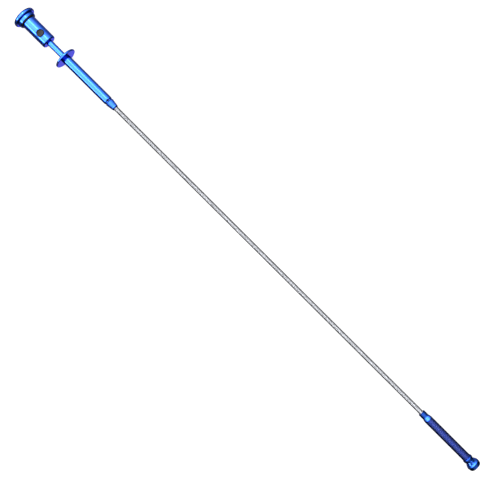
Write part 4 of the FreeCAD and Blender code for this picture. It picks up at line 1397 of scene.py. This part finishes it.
@dataclass
class Studio:
    """Pale lit floor, soft light from above, two long strip lights, and the camera."""

    camera_height: float = 0.783
    lens: float = 60.5
    centre_x: float = -0.00445
    centre_y: float = -0.00267
    roll: float = 44.87
    floor_colour: str = "#8A8A8A"
    floor_glow: float = 0.8
    strips: Tuple[Tuple[float, float, float], ...] = ((16.0, 0.22, 6.5), (-61.0, 0.54, 6.5))
    strip_length: float = 0.5
    strip_middle: float = -0.78
    strip_distance: float = 1.5
    levels_round: Tuple[Station, ...] = (
        (-180, 0.12), (-104, 0.08), (-90, 0.1), (-76, 0.2), (-62, 0.8), (-48, 1.6), (-34, 2.4),
        (-15, 2.9), (25, 2.8), (36, 1.9), (52, 1.2), (70, 0.6), (88, 0.3), (104, 0.22),
        (180, 0.12))
    levels_along: Tuple[Station, ...] = (
        (-1.0, 0.25), (-0.7, 0.2), (-0.58, 0.1), (-0.48, 0.35), (-0.4, 1.3), (-0.355, 1.8),
        (-0.33, 1.7), (-0.31, 1.3), (-0.22, 1.35), (-0.15, 1.9), (0.0, 1.9), (0.06, 1.2),
        (0.15, 0.5), (0.3, 0.28), (0.35, 0.2), (0.4, 0.1), (0.5, 0.06), (0.62, 0.14),
        (0.8, 0.2), (1.0, 0.25))
    bounce_round: Tuple[Station, ...] = (
        (-180, 1.0), (-169, 1.0), (-156, 0.0), (156, 0.0), (169, 1.0), (180, 1.0))
    bounce_along: Tuple[Station, ...] = (
        (-1.0, 0.0), (0.1, 0.0), (0.24, 0.9), (0.42, 0.9), (0.55, 0.0), (1.0, 0.0))
    fill: float = 0.8
    fill_size: float = 3.0

    def floor(self) -> None:
        """A plain opal floor, lit from below; metal reflects the room's dark end, not the floor."""
        clear_selection()
        bpy.ops.mesh.primitive_plane_add(size=8.0, location=(0.0, 0.0, 0.0))
        plane = bpy.context.object
        plane.name = "floor"
        opal = OpalFinish("acrylic_opal_sheet", self.floor_colour, 0.9, shine=0.0,
                          grain_mm=(40.0, 40.0, 40.0), relief_mm=0.0, shade_change=0.01,
                          glow=self.floor_glow)
        plane.data.materials.append(opal.material())
        plane.visible_glossy = False

    def world(self) -> None:
        """Soft light whose brightness goes by the angle round the tool's axis."""
        world = bpy.data.worlds.new("studio")
        bpy.context.scene.world = world
        world.use_nodes = True
        tree = world.node_tree
        place = add_node(tree, "ShaderNodeTexCoord")
        parts = add_node(tree, "ShaderNodeSeparateXYZ", links={"0": place.outputs["Generated"]})
        angle = add_node(tree, "ShaderNodeMath", {".operation": "ARCTAN2"},
                         {"0": parts.outputs["Y"], "1": parts.outputs["Z"]})
        layers = []
        for round_stops, along_stops in ((self.levels_round, self.levels_along),
                                         (self.bounce_round, self.bounce_along)):
            round_axis = self.profile(tree, angle, (-math.pi, math.pi), round_stops)
            along = self.profile(tree, parts, (-1.0, 1.0), along_stops)
            layers.append(add_node(tree, "ShaderNodeMath", {".operation": "MULTIPLY"},
                                   {"0": round_axis, "1": along}).outputs["Value"])
        light = add_node(tree, "ShaderNodeMath", {".operation": "ADD"},
                         {"0": layers[0], "1": layers[1]})
        background = tree.nodes["Background"]
        background.inputs["Color"].default_value = (1.0, 1.0, 1.0, 1.0)
        tree.links.new(light.outputs["Value"], background.inputs["Strength"])

    @staticmethod
    def profile(tree: bpy.types.NodeTree, source: bpy.types.Node, reach: Tuple[float, float],
                stops: Sequence[Tuple[float, float]]) -> bpy.types.NodeSocket:
        """A brightness that follows stops along a measure.

        Args:
            tree: the node tree.
            source: node whose first output is the measure.
            reach: the measure's least and greatest value.
            stops: share of the reach and level, in order.

        Returns:
            The brightness.
        """
        share = add_node(tree, "ShaderNodeMapRange",
                         {"From Min": reach[0], "From Max": reach[1]},
                         {"Value": source.outputs[0]})
        ramp = add_node(tree, "ShaderNodeValToRGB", links={"Fac": share.outputs["Result"]})
        marks = ramp.color_ramp.elements
        while len(marks) < len(stops):
            marks.new(0.5)
        low, high = stops[0][0], stops[-1][0]
        top = max(level for _, level in stops)
        for mark, (place, level) in zip(marks, stops):
            mark.position = (place - low) / (high - low)
            mark.color = (level / top, level / top, level / top, 1.0)
        level = add_node(tree, "ShaderNodeMath", {".operation": "MULTIPLY", "1": top},
                         {"0": ramp.outputs["Color"]})
        return level.outputs["Value"]

    def lights(self) -> None:
        """Two strip lights that the metal shows, and a wide one that only lights the floor."""
        for number, (angle, width, radiance) in enumerate(self.strips, start=1):
            turn = math.radians(angle)
            bpy.ops.object.light_add(
                type="AREA", rotation=(-turn, 0.0, 0.0),
                location=(self.strip_middle, self.strip_distance * math.sin(turn),
                          self.strip_distance * math.cos(turn)))
            strip = bpy.context.object
            strip.name = f"strip_light_{number}"
            strip.data.shape = "RECTANGLE"
            strip.data.size = self.strip_length
            strip.data.size_y = width
            strip.data.energy = radiance * math.pi * self.strip_length * width
            strip.visible_diffuse = False
        bpy.ops.object.light_add(type="AREA", location=(0.0, 0.0, self.strip_distance))
        fill = bpy.context.object
        fill.name = "fill_light"
        fill.data.size = self.fill_size
        fill.data.energy = self.fill * math.pi * self.fill_size ** 2
        fill.visible_glossy = False

    def camera(self) -> None:
        """The camera, straight above, turned so that the tool runs corner to corner."""
        bpy.ops.object.camera_add(
            location=(self.centre_x, self.centre_y, axis_height() + self.camera_height),
            rotation=(0.0, 0.0, math.radians(self.roll)))
        camera = bpy.context.object
        camera.name = "camera"
        camera.data.lens = self.lens
        camera.data.sensor_width = 36.0
        bpy.context.scene.camera = camera

    def build(self) -> None:
        """Sets up floor, light and camera."""
        self.floor()
        self.world()
        self.lights()
        self.camera()
        bpy.context.scene.view_settings.view_transform = "Standard"


def main() -> None:
    """Builds every sub-assembly in order, then the studio."""
    logging.basicConfig(level=logging.INFO, format="%(name)s: %(message)s")
    assemblies = (ThumbCap(), BatteryBody(), PlungerStem(), FingerFlange(), Barrel(),
                  ReturnSpring(), FlexibleShaft(), HeadCollar(), KnurledSleeve(), Nose(), Claws())
    for assembly in assemblies:
        LOG.info("building %s", type(assembly).__name__)
        assembly.build()
    dress_packed_nodes()
    Studio().build()


if __name__ == "__main__":
    main()
